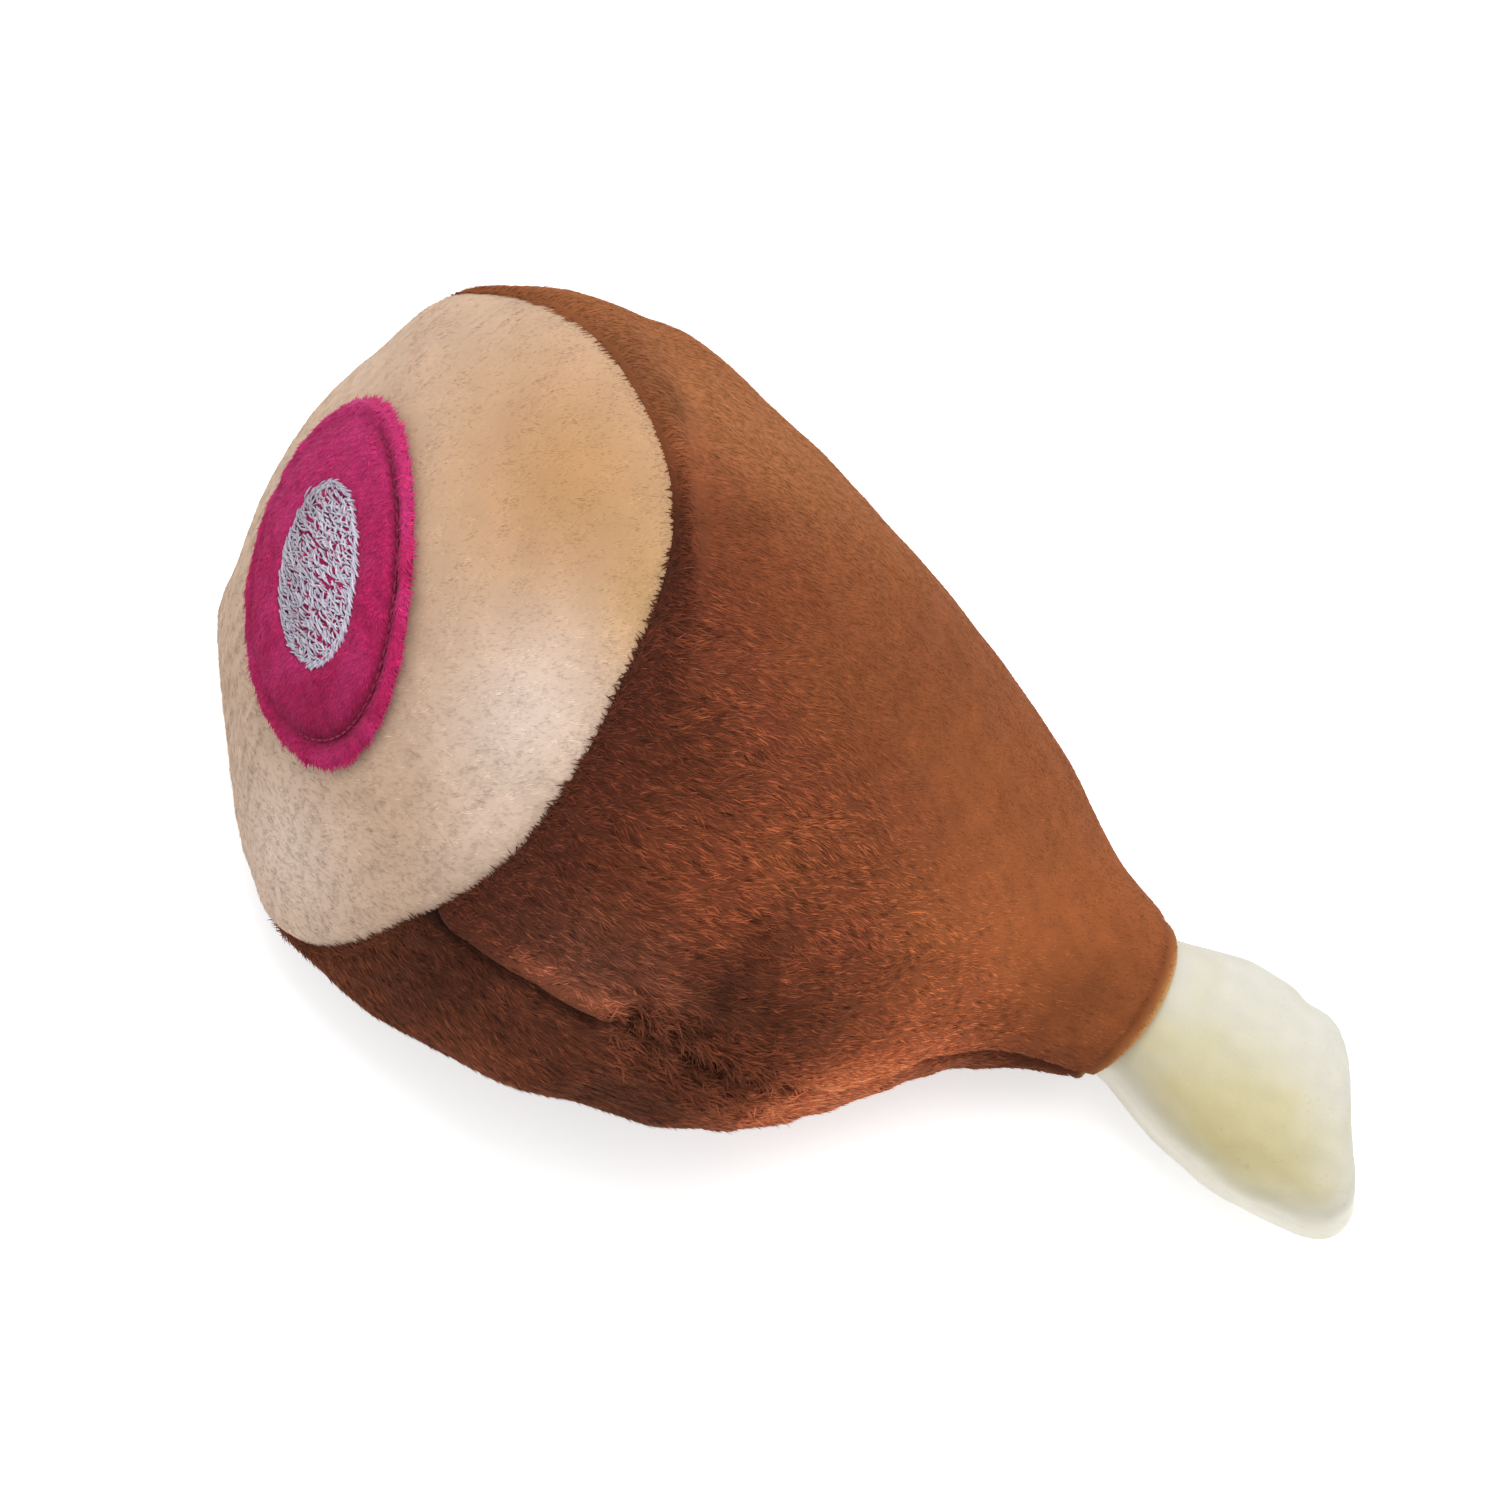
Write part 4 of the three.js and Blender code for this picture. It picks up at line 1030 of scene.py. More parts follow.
@dataclass(frozen=True)
class Thread(Finish):
    """Spun polyester or rayon thread: round, with a twist that glints along it."""

    roughness: float
    specular: float
    twist_mm: float = 0.5

    def material(self) -> Material:
        """The thread's own colour with painted light and shade in the bands of its twist."""
        made, tree, place = self.start()
        twist = add_node(
            tree, "TexWave",
            {"Vector": place, "Scale": 1 / (self.twist_mm * MM) / 6.28, "Distortion": 2.5, "Detail": 2.0},
            wave_type="BANDS", bands_direction="DIAGONAL",
        ).outputs["Fac"]
        colour = self.toned(tree, {"Value": twist, "To Min": 0.8, "To Max": 1.1})
        self.end(tree, colour, twist, 0.4, 0.06, {
            "Roughness": self.roughness, "Specular IOR Level": self.specular,
        })
        return made


@dataclass(frozen=True)
class Fibrefill(Finish):
    """Loose or felted polyester fibre: white, cloudy, crossed by fine hairs."""

    light: str
    shade: str
    hair_mm: float = 1.2

    def material(self) -> Material:
        """White fibre with painted shade in its hollows, which are a little darker."""
        made, tree, place = self.start()
        hairs = add_node(tree, "TexNoise", {
            "Vector": place, "Scale": 1 / (self.hair_mm * MM), "Detail": 6.0, "Roughness": 0.7,
            "Distortion": 1.6,
        }).outputs["Fac"]
        ramp = add_node(tree, "ValToRGB", {"Fac": hairs})
        hollow, top = ramp.color_ramp.elements
        hollow.position, top.position = 0.3, 0.65
        hollow.color, top.color = rgba(linear(self.shade)), rgba(linear(self.light))
        self.end(tree, ramp.outputs["Color"], hairs, 0.6, 0.4, {
            "Roughness": 0.95, "Specular IOR Level": 0.1, "Sheen Weight": 0.3,
        })
        return made


@dataclass(frozen=True)
class MouldedPlastic(Finish):
    """Polyethylene or polystyrene from a mould: slightly milky, with flow marks too faint to feel."""

    colour: str
    roughness: float
    mottle: float = 0.03
    cloud_mm: float = 6.0
    grain_mm: float = 0.4

    def material(self) -> Material:
        """Even plastic with faint clouds and a fine grain of the mould."""
        made, tree, place = self.start()
        clouds, grain = (
            add_node(tree, "TexNoise", {"Vector": place, "Scale": 1 / (size * MM), "Detail": 2.0})
            for size in (self.cloud_mm, self.grain_mm)
        )
        ramp = add_node(tree, "ValToRGB", {"Fac": clouds.outputs["Fac"]})
        milky, plain = ramp.color_ramp.elements
        milky.color = rgba(linear(self.colour) * (1 - 2 * self.mottle))
        plain.color = rgba(linear(self.colour))
        rough = add_node(tree, "MapRange", {
            "Value": grain.outputs["Fac"], "To Min": self.roughness - 0.05, "To Max": self.roughness + 0.08,
        })
        self.end(tree, ramp.outputs["Color"], grain.outputs["Fac"], 0.15, 0.05, {
            "Roughness": rough.outputs["Result"], "IOR": 1.5,
        })
        return made


class Slot(Enum):
    """The material slots."""

    BROWN = "plush_brown"
    PEACH = "plush_peach"
    MAGENTA = "plush_magenta"
    CREAM = "plush_cream"
    SILVER = "embroidery_silver"
    GROOVE = "stitch_magenta"
    BROWN_THREAD = "thread_brown"
    CREAM_THREAD = "thread_cream"
    BACKING = "backing_white"
    FIBRE = "fibre_white"
    SOFT_PLASTIC = "squeaker_soft"
    HARD_PLASTIC = "squeaker_hard"


# Plain colours of backing and squeaker, which the finish and the piece share.
BACKING_WHITE = "#f2f0ea"
SOFT_WHITE = "#f4f4f0"
HARD_WHITE = "#f6f6f4"
# How far before the neck's pivot a bend with the neck would start and end, in mm; no piece is bent.
NECK_BEND = (24.0, 5.0)


class Finishes:
    """The toy's materials, made once each and named for what they are."""

    def __init__(self) -> None:
        """Makes every material."""
        makers = {
            # Brushed short pile: the tufts lie over, so flanks look lighter; the roots' near black-brown is
            # painted shade in the pile's tone.
            Slot.BROWN: Plush("brown_sheared_plush", 0.14, "#c89878", 0.9, 0.05),
            # Finer, shorter pile: softer streaks, and a silvery sheen that is partly painted into the pile's
            # tone.
            Slot.PEACH: Plush("peach_sheared_plush", 0.2, "#fff0e0", 0.8, 0.04),
            # Dense felt-like pile: deep colour, with painted shade in the sewn groove.
            Slot.MAGENTA: Plush("magenta_felted_plush", 0.15, "#ffb0d0", 0.6, 0.07),
            # The shortest pile: smooth and chalky, its tufts too fine to tell apart.
            Slot.CREAM: Plush("cream_sheared_plush", 0.15, "#ffffff", 0.8, 0.015),
            # Glossy filament thread: bright glints along each stitch.
            Slot.SILVER: Thread("silver_rayon_thread", 0.32, 0.6),
            # Spun sewing thread: nearly matt, so that only its twist shows.
            Slot.GROOVE: Thread("magenta_sewing_thread", 0.55, 0.3),
            Slot.BROWN_THREAD: Thread("brown_sewing_thread", 0.55, 0.3),
            Slot.CREAM_THREAD: Thread("cream_sewing_thread", 0.55, 0.3),
            # Pressed, not woven: short flat fibres in every direction.
            Slot.BACKING: Fibrefill("white_tear_away_backing", BACKING_WHITE, "#d9d6cd", 0.5),
            # Carded fibre: cloudy, with a soft shine at its rim.
            Slot.FIBRE: Fibrefill("white_polyester_fibre", "#f7f7f4", "#d6d6d2"),
            # Blow-moulded, thin and waxy: broad soft highlights.
            Slot.SOFT_PLASTIC: MouldedPlastic("milky_soft_polyethylene", SOFT_WHITE, 0.45),
            # Injection-moulded in a polished mould: small clear highlights.
            Slot.HARD_PLASTIC: MouldedPlastic("white_moulded_polystyrene", HARD_WHITE, 0.28),
        }
        self.made = {slot: maker.material() for slot, maker in makers.items()}

    def __getitem__(self, slot: Slot) -> Material:
        """The material of a slot."""
        return self.made[slot]

    def piece(
        self, name: str, cut: Cut, slot: Slot, node: str, body: str | None, fill: float | None = None,
        smooth: bool = True,
    ) -> Object:
        """A piece of a cut for a CAD node, in a slot's material, on a body or on none."""
        return dressed(piece_from(name, cut, self[slot], smooth), slot, node, body)


def dressed(
    piece: Object, slot: Slot, node: str, body: str | None
) -> Object:
    """Hides the CAD node that a piece stands for, puts the piece on its body if it has one, and logs its
    triangles.
    """
    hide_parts(node)
    if body:
        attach(piece, body)
    LOG.info("%s: %d triangles", piece.name, len(piece.data.polygons))
    return piece


def bent_with_neck(piece: Object) -> Object:
    """Bakes a piece's place into its mesh; where a bend with the neck would start and end, 24 and 5 mm before
    its pivot on the leg, is worked out but not used.
    """
    start, end = (
        Vector(PLACING.metres(HAM.neck_pivot + HAM.neck.face * before).tolist()) for before in NECK_BEND
    )
    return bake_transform(piece)


# Sub-assemblies


# Thickness along a stitch, from end to end, and its height over the cloth, as shares.
STITCH_TAPER = np.array([0.7, 1, 1, 1, 0.7])
STITCH_ARCH = np.array([-0.25, 0.1, 0.2, 0.1, -0.25])
# Length and radius of the finer machine stitches, in mm.
SHORT_STITCH = 2.4
FINE_THREAD = 0.28


@dataclass
class EndDisc:
    """Peach domed face: sheared plush cut round, its edge turned in along the seam."""

    finishes: Finishes
    rings: int = 60
    columns: int = 180
    allowance: float = 4.6
    turned_edge: float = 0.8
    base: str = "#c4a68e"
    back: str = "#d2c0b2"
    # Slack and full places beside the seam: turn and width in degrees, height in mm.
    dents: tuple[tuple[float, float, float], ...] = (
        (-73, 11, 2.0), (-102, 13, -1.6), (-140, 16, 0.8), (-42, 10, 0.5), (-8, 10, -0.6),
    )
    sink: float = 0.7
    edge: Ridge = Ridge(-0.6, 1.1)
    # The pale strokes paint the silvery sheen on the lower side; the browner ones tint the peach toward the
    # top.
    strokes: tuple[ShadingStroke, ...] = (
        ShadingStroke(-24, 36, 19, 22, 8, 1.0, "#b68b61"), ShadingStroke(-30, 4, 11, 14, -35, 0.8, "#dcc8ba"),
        ShadingStroke(-15, 20, 4, 9, -15, 0.35, "#c8a058"), ShadingStroke(-51, -7, 10, 8, 0, 0.3, "#cba98c"),
        ShadingStroke(-36, -12, 10, 5, 40, 0.4, "#dcc6b6"), ShadingStroke(-64, -14, 9, 14, 20, 0.8, "#dfc7b6"),
        ShadingStroke(-15, 24, 7, 14, 0, 0.35, "#a87f55"),
    )
    pile: Pile = Pile(
        1.3, 0.24, 9.0, lean=6, lean_spread=3, way_spread=11, sway=12, tone_spread=0.04,
        root_shade=0.9, tip_light=1.05, streak_depth=0.06, seed=11,
    )

    def skin(self) -> Skin:
        """Face of the disc: rings of the dome out to the seam, rounded over at the edge."""
        share = np.linspace(0, 1, self.rings) ** 0.85
        turn = even_turns(self.columns)
        s, g = np.meshgrid(share, turn, indexing="ij")
        angle = s * HAM.seam_angle(g)
        flat = HAM.dome(angle, g)
        from_edge = (1 - s) * HAM.seam_angle(g) * HAM.dome_radius
        uneven = 0.16 * Ripples(16, 3)(flat) + 0.06 * Ripples(5, 4)(flat)
        lift = uneven * eased(from_edge, 0, 6) + self.edge.at(from_edge) - self.sink
        for centre, width, height in self.dents:
            dent = height * bell(turn_from(g, centre), 0, width) * bell(s, 0.82, 0.2)
            lift = lift + dent * eased(from_edge, 0, 5)
        swell = seam_swell(turn, np.zeros(len(turn)))[None] * bell(from_edge, 0, 9)[..., None]
        points = HAM.dome(angle, g, lift) + swell
        x, y = angle * HAM.dome_radius * np.cos(g), angle * HAM.dome_radius * np.sin(g)
        downward = eased(-y, 5, 34) * eased(x * 0.4 + 22, 0, 30)
        tone = shaded_by_strokes(painted(points, self.base), points, self.strokes)
        tone = tone * (1 + 0.02 * Ripples(7, 8)(points) + 0.02 * Ripples(18, 5)(points))[..., None]
        return Skin(
            points, grid_normals(points, True, HAM.dome_centre),
            blended(VIEW_RIGHT, -VIEW_UP, downward[..., None] * 0.8), tone,
            length=0.7 + 0.3 * eased(from_edge, 0, 3),
            ruffle=0.5 + 0.8 * eased(-seen(points, VIEW_UP), -28, 4), wraps=True,
        )

    def build(self) -> None:
        """The disc's cloth with its turned-in edge and its pile."""
        skin = self.skin()
        inward = HAM.seam_mitre(even_turns(self.columns))
        edge = skin.points[-1]
        toward_top = unit(skin.points[-6] - edge)
        back = skin.points - skin.normals * HAM.cloth
        back[-1] = edge + inward * HAM.cloth + toward_top * self.turned_edge
        front_in = edge + inward * self.allowance + toward_top * 0.15
        back_in = front_in + toward_top * self.turned_edge
        front = np.concatenate([skin.points, front_in[None]])
        back = np.concatenate([back, back_in[None]])
        # Painted shade: the cloth under the pile a little darker, and the turned-in edge half as bright.
        tone = np.concatenate([skin.tone * 0.93, skin.tone[-1:] * 0.5])
        cloth = shell(front, back, True, tone, linear(self.back) * 0.8)
        made = joined([cloth, self.pile.grow(skin)]).above_floor()
        self.finishes.piece("disc_plush", made, Slot.PEACH, "end_disc", "leg", 0.85)


@dataclass
class Patch:
    """Magenta oval laid on the disc, sewn down in a groove, with a silver embroidered marrow."""

    finishes: Finishes
    place: tuple[float, float] = (0.5, 5.6)
    half: tuple[float, float] = (26.6, 17.4)
    thickness: float = 1.7
    recess: float = 0.5
    groove_depth: float = 1.1
    groove: float = 0.865
    groove_stitches_round: int = 74
    groove_thread: float = 0.24
    # Turn of the side where the groove is deepest, in degrees.
    groove_turn: float = 125.0
    mark_place: tuple[float, float] = (0.2, 6.4)
    mark_half: tuple[float, float] = (13.1, 7.9)
    mark_rows: int = 36
    mark_columns: int = 44
    mark_border: int = 230
    backing_half: tuple[float, float] = (17.0, 12.5)
    mid: str = "#b6245c"
    # The lighter colour serves the random patches and the painted light on top; the darker two are painted
    # shade, below and in the groove, and the deepest also colours the groove thread and the patch's back.
    light: str = "#c83a78"
    dark: str = "#8a1c42"
    deep: str = "#7a1437"
    silver: str = "#c4bfcd"
    silver_dark: str = "#aaa2b6"
    pile: Pile = Pile(
        1.0, 0.26, 10.0, lean=18, lean_spread=8, way_spread=26, sway=20, tone_spread=0.06,
        root_shade=0.84, tip_light=1.04, seed=21,
    )

    def at(self, share: Array, turn: Array, lift: Array | float) -> Array:
        """Points over the dome on ovals: the patch's own at its edge, about the marrow's middle inside."""
        inner = np.clip((1 - share) / 0.47, 0, 1)
        x, y = (
            own + (mark - own) * inner + half * share * way
            for own, mark, half, way in zip(
                self.place, self.mark_place, self.half, (np.cos(turn), np.sin(turn)))
        )
        return HAM.dome_place(x, y, lift)

    def lift_at(self, share: Array, turn: Array) -> Array:
        """Height over the disc: a soft cushion, pulled down along the sewn groove and at its edge."""
        top = HAM.clearance + self.thickness
        strong = 0.35 + 0.65 * eased(np.cos(turn - math.radians(self.groove_turn)), -0.5, 0.6)
        groove = self.groove_depth * 0.9 * strong * bell(share, self.groove, 0.055)
        edge = 0.9 * eased(share, 0.95, 1.0)
        middle = self.recess * (1 - eased(share, 0.46, 0.56))
        return top - groove - edge - middle

    def tone_at(self, share: Array, turn: Array, points: Array) -> Array:
        """Colour of the pile, patchy at random, with painted light toward the top and painted shade below and
        in the groove.
        """
        patchy = Ripples(9, 23)(points)
        tone = tinted(painted(points, self.mid), self.light, 0.45 * eased(patchy, -0.5, 1.5))
        up = seen(points, VIEW_UP)
        # Painted light toward the top.
        tone = tinted(tone, self.light, 0.5 * eased(up, 22, 44))
        # Painted shade below.
        low = (1 - eased(up, -4, 15)) * (1 - eased(share, 0.84, 0.9))
        tone = tinted(tone, self.dark, 0.8 * low)
        # Painted shade in the groove, deepest on its strong side.
        strong = 0.25 + 0.75 * eased(np.cos(turn - math.radians(self.groove_turn)), -0.4, 0.7)
        return tinted(tone, self.deep, 0.85 * strong * bell(share, self.groove, 0.048))

    def plush(self) -> None:
        """The oval of plush with a ragged cut edge."""
        share = np.concatenate([np.linspace(0, 0.78, 26), np.linspace(0.795, 1, 22)])
        s, g = np.meshgrid(share, even_turns(200), indexing="ij")
        ragged = 0.006 * np.sin(23 * g + 1) + 0.005 * np.sin(41 * g) + 0.004 * np.sin(67 * g + 2)
        cut = s + ragged * eased(s, 0.93, 1.0)
        points = self.at(cut, g, self.lift_at(s, g) + 0.08 * Ripples(4, 22)(self.at(cut, g, 0.0)))
        tone = self.tone_at(s, g, points)
        outer = unit(points - points[:1].mean((0, 1)))
        nap = blended(-VIEW_UP - 0.2 * VIEW_RIGHT, outer, eased(s, 0.93, 1.0)[..., None])
        skin = Skin(
            points, grid_normals(points, True, HAM.dome_centre), nap, tone,
            length=1 + 0.25 * eased(s, 0.95, 1), density=1 + 0.8 * eased(s, 0.95, 1), wraps=True,
        )
        back = self.at(np.minimum(cut, 0.995), g, HAM.clearance)
        # Painted shade on the cloth under the pile.
        cloth = shell(points, back, True, tone * 0.72, linear(self.deep))
        made = joined([cloth, self.pile.grow(skin)])
        self.finishes.piece("patch_plush", made, Slot.MAGENTA, "pink_patch", "leg", 0.4)

    def groove_stitches(self) -> None:
        """Machine stitches in the groove: short threads end to end round the oval."""
        count = self.groove_stitches_round
        g = even_turns(count)[:, None] + np.linspace(0.04, 0.92, 5)[None] * 2 * np.pi / count
        arch = 0.22 * np.sin(np.pi * np.linspace(0, 1, 5))[None]
        lift = HAM.clearance + self.thickness - self.groove_depth + 0.1 + arch
        paths = self.at(np.full(g.shape, self.groove), g, np.broadcast_to(lift, g.shape))
        radii = np.broadcast_to(self.groove_thread * np.array([0.6, 1, 1, 1, 0.6]), g.shape)
        cut = tubes(paths, radii, unit(paths[:, 2] - HAM.dome_centre), 6, linear(self.deep))
        self.finishes.piece("patch_groove_stitches", cut, Slot.GROOVE, "patch_stitch_line", "leg")

    def marrow(self) -> None:
        """Silver marrow: slanting fill stitches with gaps between them, and a denser border."""
        rng = np.random.default_rng(31)
        rows, columns, border = self.mark_rows, self.mark_columns, self.mark_border
        u, v = np.meshgrid(np.linspace(-1, 1, columns), np.linspace(-1, 1, rows))
        v = v + (np.arange(columns) % 2)[None] / rows
        u = u + rng.normal(size=u.shape) * 0.016
        v = v + rng.normal(size=v.shape) * 0.016
        inside = np.hypot(u, v) < 0.97
        u, v = u[inside], v[inside]
        bare = 0.35 + 0.15 * np.sin(7 * u + 2) * np.sin(6 * v) - 0.25 * eased(-v, 0.2, 0.9)
        kept = rng.random(u.size) > bare
        u, v = u[kept], v[kept]
        slant = np.radians(-38 + 20 * rng.normal(size=u.size) + 70 * (rng.random(u.size) < 0.12))
        reach = rng.uniform(0.6, 1.15, u.size)
        rim = even_turns(border)
        rim_share = 0.97 + 0.02 * rng.normal(size=border)
        (left, low), (wide, high) = self.mark_place, self.mark_half
        x = np.concatenate([left + wide * u * 0.97, left + wide * rim_share * np.cos(rim)])
        y = np.concatenate([low + high * v * 0.97, low + high * rim_share * np.sin(rim)])
        rim_way = np.arctan2(high * np.cos(rim), -wide * np.sin(rim))
        way = np.concatenate([slant, rim_way - np.radians(20) + 0.22 * rng.normal(size=border)])[:, None]
        reach = np.concatenate([reach, rng.uniform(0.9, 1.4, border)])[:, None]
        k = np.linspace(-1, 1, 5)[None]
        level = rng.uniform(0.05, 0.3, x.size)[:, None]
        base = HAM.clearance + self.thickness - self.recess
        lift = base + level + 0.18 * (1 - k**2) - 0.25 * (np.abs(k) > 0.9)
        along, up = x[:, None] + np.cos(way) * reach * k, y[:, None] + np.sin(way) * reach * k
        paths = HAM.dome_place(along, up, lift)
        thick = rng.uniform(0.12, 0.18, x.size)[:, None] * STITCH_TAPER[None]
        tone = blended(linear(self.silver_dark), linear(self.silver), rng.random((x.size, 1)) ** 0.6)
        grey = 0.26 * (1 - eased(y - low, -5, 1.5)) + 0.2 * eased(x - left, 5, 12)
        cut = tubes(paths, thick, unit(paths[:, 2] - HAM.dome_centre), 6, tone * (1 - grey)[:, None])
        self.finishes.piece("marrow_stitches", cut, Slot.SILVER, "marrow_embroidery", "leg")

    def backing(self) -> None:
        """Tear-away backing behind the stitches, under the disc's cloth, with a torn edge."""
        s, g = np.meshgrid(np.linspace(0, 1, 24), even_turns(90), indexing="ij")
        torn = 1 + (0.012 * np.sin(17 * g) + 0.01 * np.sin(31 * g + 1)) * eased(s, 0.9, 1) - 0.02 * s
        x = self.mark_place[0] + self.backing_half[0] * s * torn * np.cos(g)
        y = self.mark_place[1] + self.backing_half[1] * s * torn * np.sin(g)
        low = -HAM.cloth - HAM.clearance
        front, back = (HAM.dome_place(x, y, low - depth) for depth in (0.05, 0.45))
        cut = shell(front, back, True, painted(front, BACKING_WHITE), linear(BACKING_WHITE))
        piece = self.finishes.piece(
            "embroidery_tear_away", cut, Slot.BACKING, "embroidery_backing", "leg")

    def build(self) -> None:
        """The patch, its groove stitches, the marrow and the backing."""
        self.plush()
        self.groove_stitches()
        self.marrow()
        self.backing()


class Panel(Enum):
    """The two cuts of plush that the leg, and the bone, are sewn from."""

    UPPER = "upper"
    LOWER = "lower"


@dataclass
class PanelForm:
    """A leg panel before its cloth is lifted: a plain grid, with the distances in mm from its edges."""

    panel: Panel
    t: Array
    turn: Array
    plain: Array
    out: Array

    def __post_init__(self) -> None:
        """Measures the distances across and along the grid."""
        across, along = run_along(self.plain, 1), run_along(self.plain)
        sides = (across, across[:, -1:] - across)
        self.from_far, self.from_near = sides if self.upper else sides[::-1]
        self.from_face, self.from_rim = along, along[-1:] - along

    @property
    def upper(self) -> bool:
        """Whether this is the upper panel."""
        return self.panel is Panel.UPPER

    @property
    def beside_seam(self) -> Array:
        """Distance from the near seam, below nought on the upper panel."""
        return -self.from_near if self.upper else self.from_near

    @property
    def lapped(self) -> Array:
        """How much the upper panel laps over the lower one: wholly at the face, not past the gap's start."""
        return 1 - eased(self.t, 0.2, 0.27)

    @property
    def crisp(self) -> Array:
        """How sharp the lapped fold's edge is."""
        return 1 - eased(self.t, 0.19, 0.25)

    @property
    def hidden(self) -> Array:
        """How much pile hides the near seam toward the neck."""
        return eased(self.t, 0.58, 0.64) * (1 - eased(self.t, 0.72, 0.78))


@dataclass
class Leg:
    """Two brown panels sewn face to face, gathered at the closing stitch and hemmed at the neck."""

    finishes: Finishes
    rows: int = 120
    columns: int = 96
    pile_grid: tuple[int, int] = (200, 160)
    seam_places: tuple[float, ...] = (
        0.0, 0.035, 0.105, 0.2, 0.4, 0.455, 0.51, 0.56, 0.63, 0.7, 0.755, 0.88, 1.0,
    )
    seam_turns: tuple[float, ...] = (
        170, 165, 158.5, 154.5, 155, 157, 160, 164, 173, 171, 166, 172, 176,
    )
    far_turn: float = 347.0
    # Dimples of the closing stitch: share of the leg, distance beside the seam, size and depth in mm.
    puckers: tuple[tuple[float, float, float, float], ...] = (
        (0.28, -1.5, 2.6, 1.3), (0.32, 2.0, 2.2, 1.1), (0.36, -2.6, 2.0, 1.2), (0.4, 1.2, 2.4, 1.6),
        (0.44, -0.6, 1.8, 1.8), (0.47, 2.6, 1.8, 1.0), (0.5, -1.8, 1.6, 1.2), (0.52, 0.8, 1.4, 1.5),
        (0.555, -0.6, 1.6, 1.4), (0.585, 1.2, 1.8, 0.9),
    )
    swells: tuple[Swell, ...] = (
        Swell(0.21, 29, 0.06, 20, 1.2), Swell(0.7, 22, 0.14, 25, 0.9), Swell(0.39, 190, 0.08, 22, 1.2),
        Swell(0.86, 183, 0.09, 24, 1.3), Swell(0.06, 211, 0.05, 9, 0.9), Swell(0.56, 187, 0.09, 20, 0.4),
        Swell(0.99, 22, 0.02, 25, -0.5),
    )
    # The upper panel's crease behind the disc: shares of the leg and the turns that it passes there.
    crease_places: tuple[float, ...] = (0, 0.22, 0.26)
    crease_turns: tuple[float, ...] = (87, 70, 66)
    crease_depth: float = 0.5
    face_seam: Ridge = Ridge(-0.7, 1.2)
    far_seam: Ridge = Ridge(-1.2, 1.6)
    near_seam: Ridge = Ridge(-1.1, 1.3)
    lap_over: Ridge = Ridge(1.2, 3.0)
    lap_under: Ridge = Ridge(-1.7, 3.5)
    gather: Ridge = Ridge(0.5, 4.0, 7.0)
    hem: tuple[Ridge, ...] = (Ridge(0.15, 0.8, 1.0), Ridge(-0.2, 0.6, 2.3), Ridge(-0.5, 0.5))
    # The crest behind the disc, where the rows are evened so that no corner is left.
    crest_turn: float = 87.0
    crest_place: float = 0.068
    evening_passes: int = 90
    rim_reach: float = 3.7
    rim_turn: float = 107.0
    sink: float = 0.8
    turned_edge: float = 1.6
    # Painted light and shade seen from above: the lit top, lighter and darker patches over folds and valleys,
    # and a few places painted to a colour.
    strokes: tuple[ShadingStroke, ...] = (
        ShadingStroke(-3, 47, 30, 9, -36, 0.85, "#a36840"), ShadingStroke(-7, -3, 8, 11, 0, -0.3),
        ShadingStroke(0, -16, 16, 9, 0, 0.3), ShadingStroke(30, -24, 16, 9, 20, 0.47),
        ShadingStroke(25, -38, 16, 6, 33, 0.9), ShadingStroke(-1, -29, 14, 4, 50, -0.45),
        ShadingStroke(4, -37, 8, 5, 20, -0.45), ShadingStroke(12, 10, 22, 14, -30, -0.14),
        ShadingStroke(-45, -32, 7, 9, 0, -0.3), ShadingStroke(9, -48.5, 15, 3, 14, 1.0),
        ShadingStroke(-15, -33.5, 7, 3.5, 0, 0.5), ShadingStroke(-25, -17, 13, 3.5, 40, -0.1),
        ShadingStroke(3, -50, 14, 5, 8, 0.7), ShadingStroke(-17, -41, 9, 3.5, -25, 0.4),
        ShadingStroke(47, -33, 9, 6, -10, -0.25), ShadingStroke(-18, -30, 14, 8, -30, 0.45, "#6f4a3c"),
        ShadingStroke(-15, -48, 13, 4, -15, -0.4), ShadingStroke(3, -48, 9, 3, 5, 0.4),
        ShadingStroke(24, -42.5, 16, 3, 10, 0.5), ShadingStroke(-5, -33.5, 6, 5, 0, -0.3),
        ShadingStroke(-29, -30, 6, 5, 0, 0.4), ShadingStroke(-22, -20, 5, 4, 0, 0.35),
        ShadingStroke(3, 5, 7, 6, -45, 0.2), ShadingStroke(24, 12, 10, 12, -40, -0.12),
        ShadingStroke(39, -22, 8, 12, -30, -0.15), ShadingStroke(-16, 53, 6, 3, -50, -0.3),
        ShadingStroke(-11, 47, 4, 2, -60, -0.3), ShadingStroke(-3, 31.5, 11, 3, 0, -0.2),
        ShadingStroke(-6, 25, 10, 8, 0, -0.14), ShadingStroke(-38, -39.5, 9, 3, -18, 0.35),
    )
    mid: str = "#7f4127"
    # Painted light on the top, painted shade beside the face and on the belly, and a painted highlight on the
    # hem's edge.
    lit: str = "#90512a"
    dark: str = "#56281a"
    belly: str = "#5c3120"
    hem_edge: str = "#d9a868"
    pile: Pile = Pile(
        1.6, 0.28, 7.5, lean=10, lean_spread=5, way_spread=12, sway=16, tone_spread=0.26,
        root_shade=0.55, tip_light=1.3, streak_depth=0.2, seed=41,
    )
    tufts: Pile = Pile(
        2.6, 0.5, 3.2, lean=32, lean_spread=14, way_spread=22, sway=70, sway_spacing=3.4,
        tone_spread=0.12, root_shade=0.6, tip_light=1.25, seed=66,
    )
    fringe_pile: Pile = Pile(
        1.6, 0.35, 5.0, lean=26, way_spread=26, tone_spread=0.14, root_shade=0.8, tip_light=1.0, seed=61,
    )

    def near_turn(self, t: Array) -> Array:
        """Turn of the seam on the viewer's side, in radians."""
        return np.radians(np.interp(t, self.seam_places, self.seam_turns))

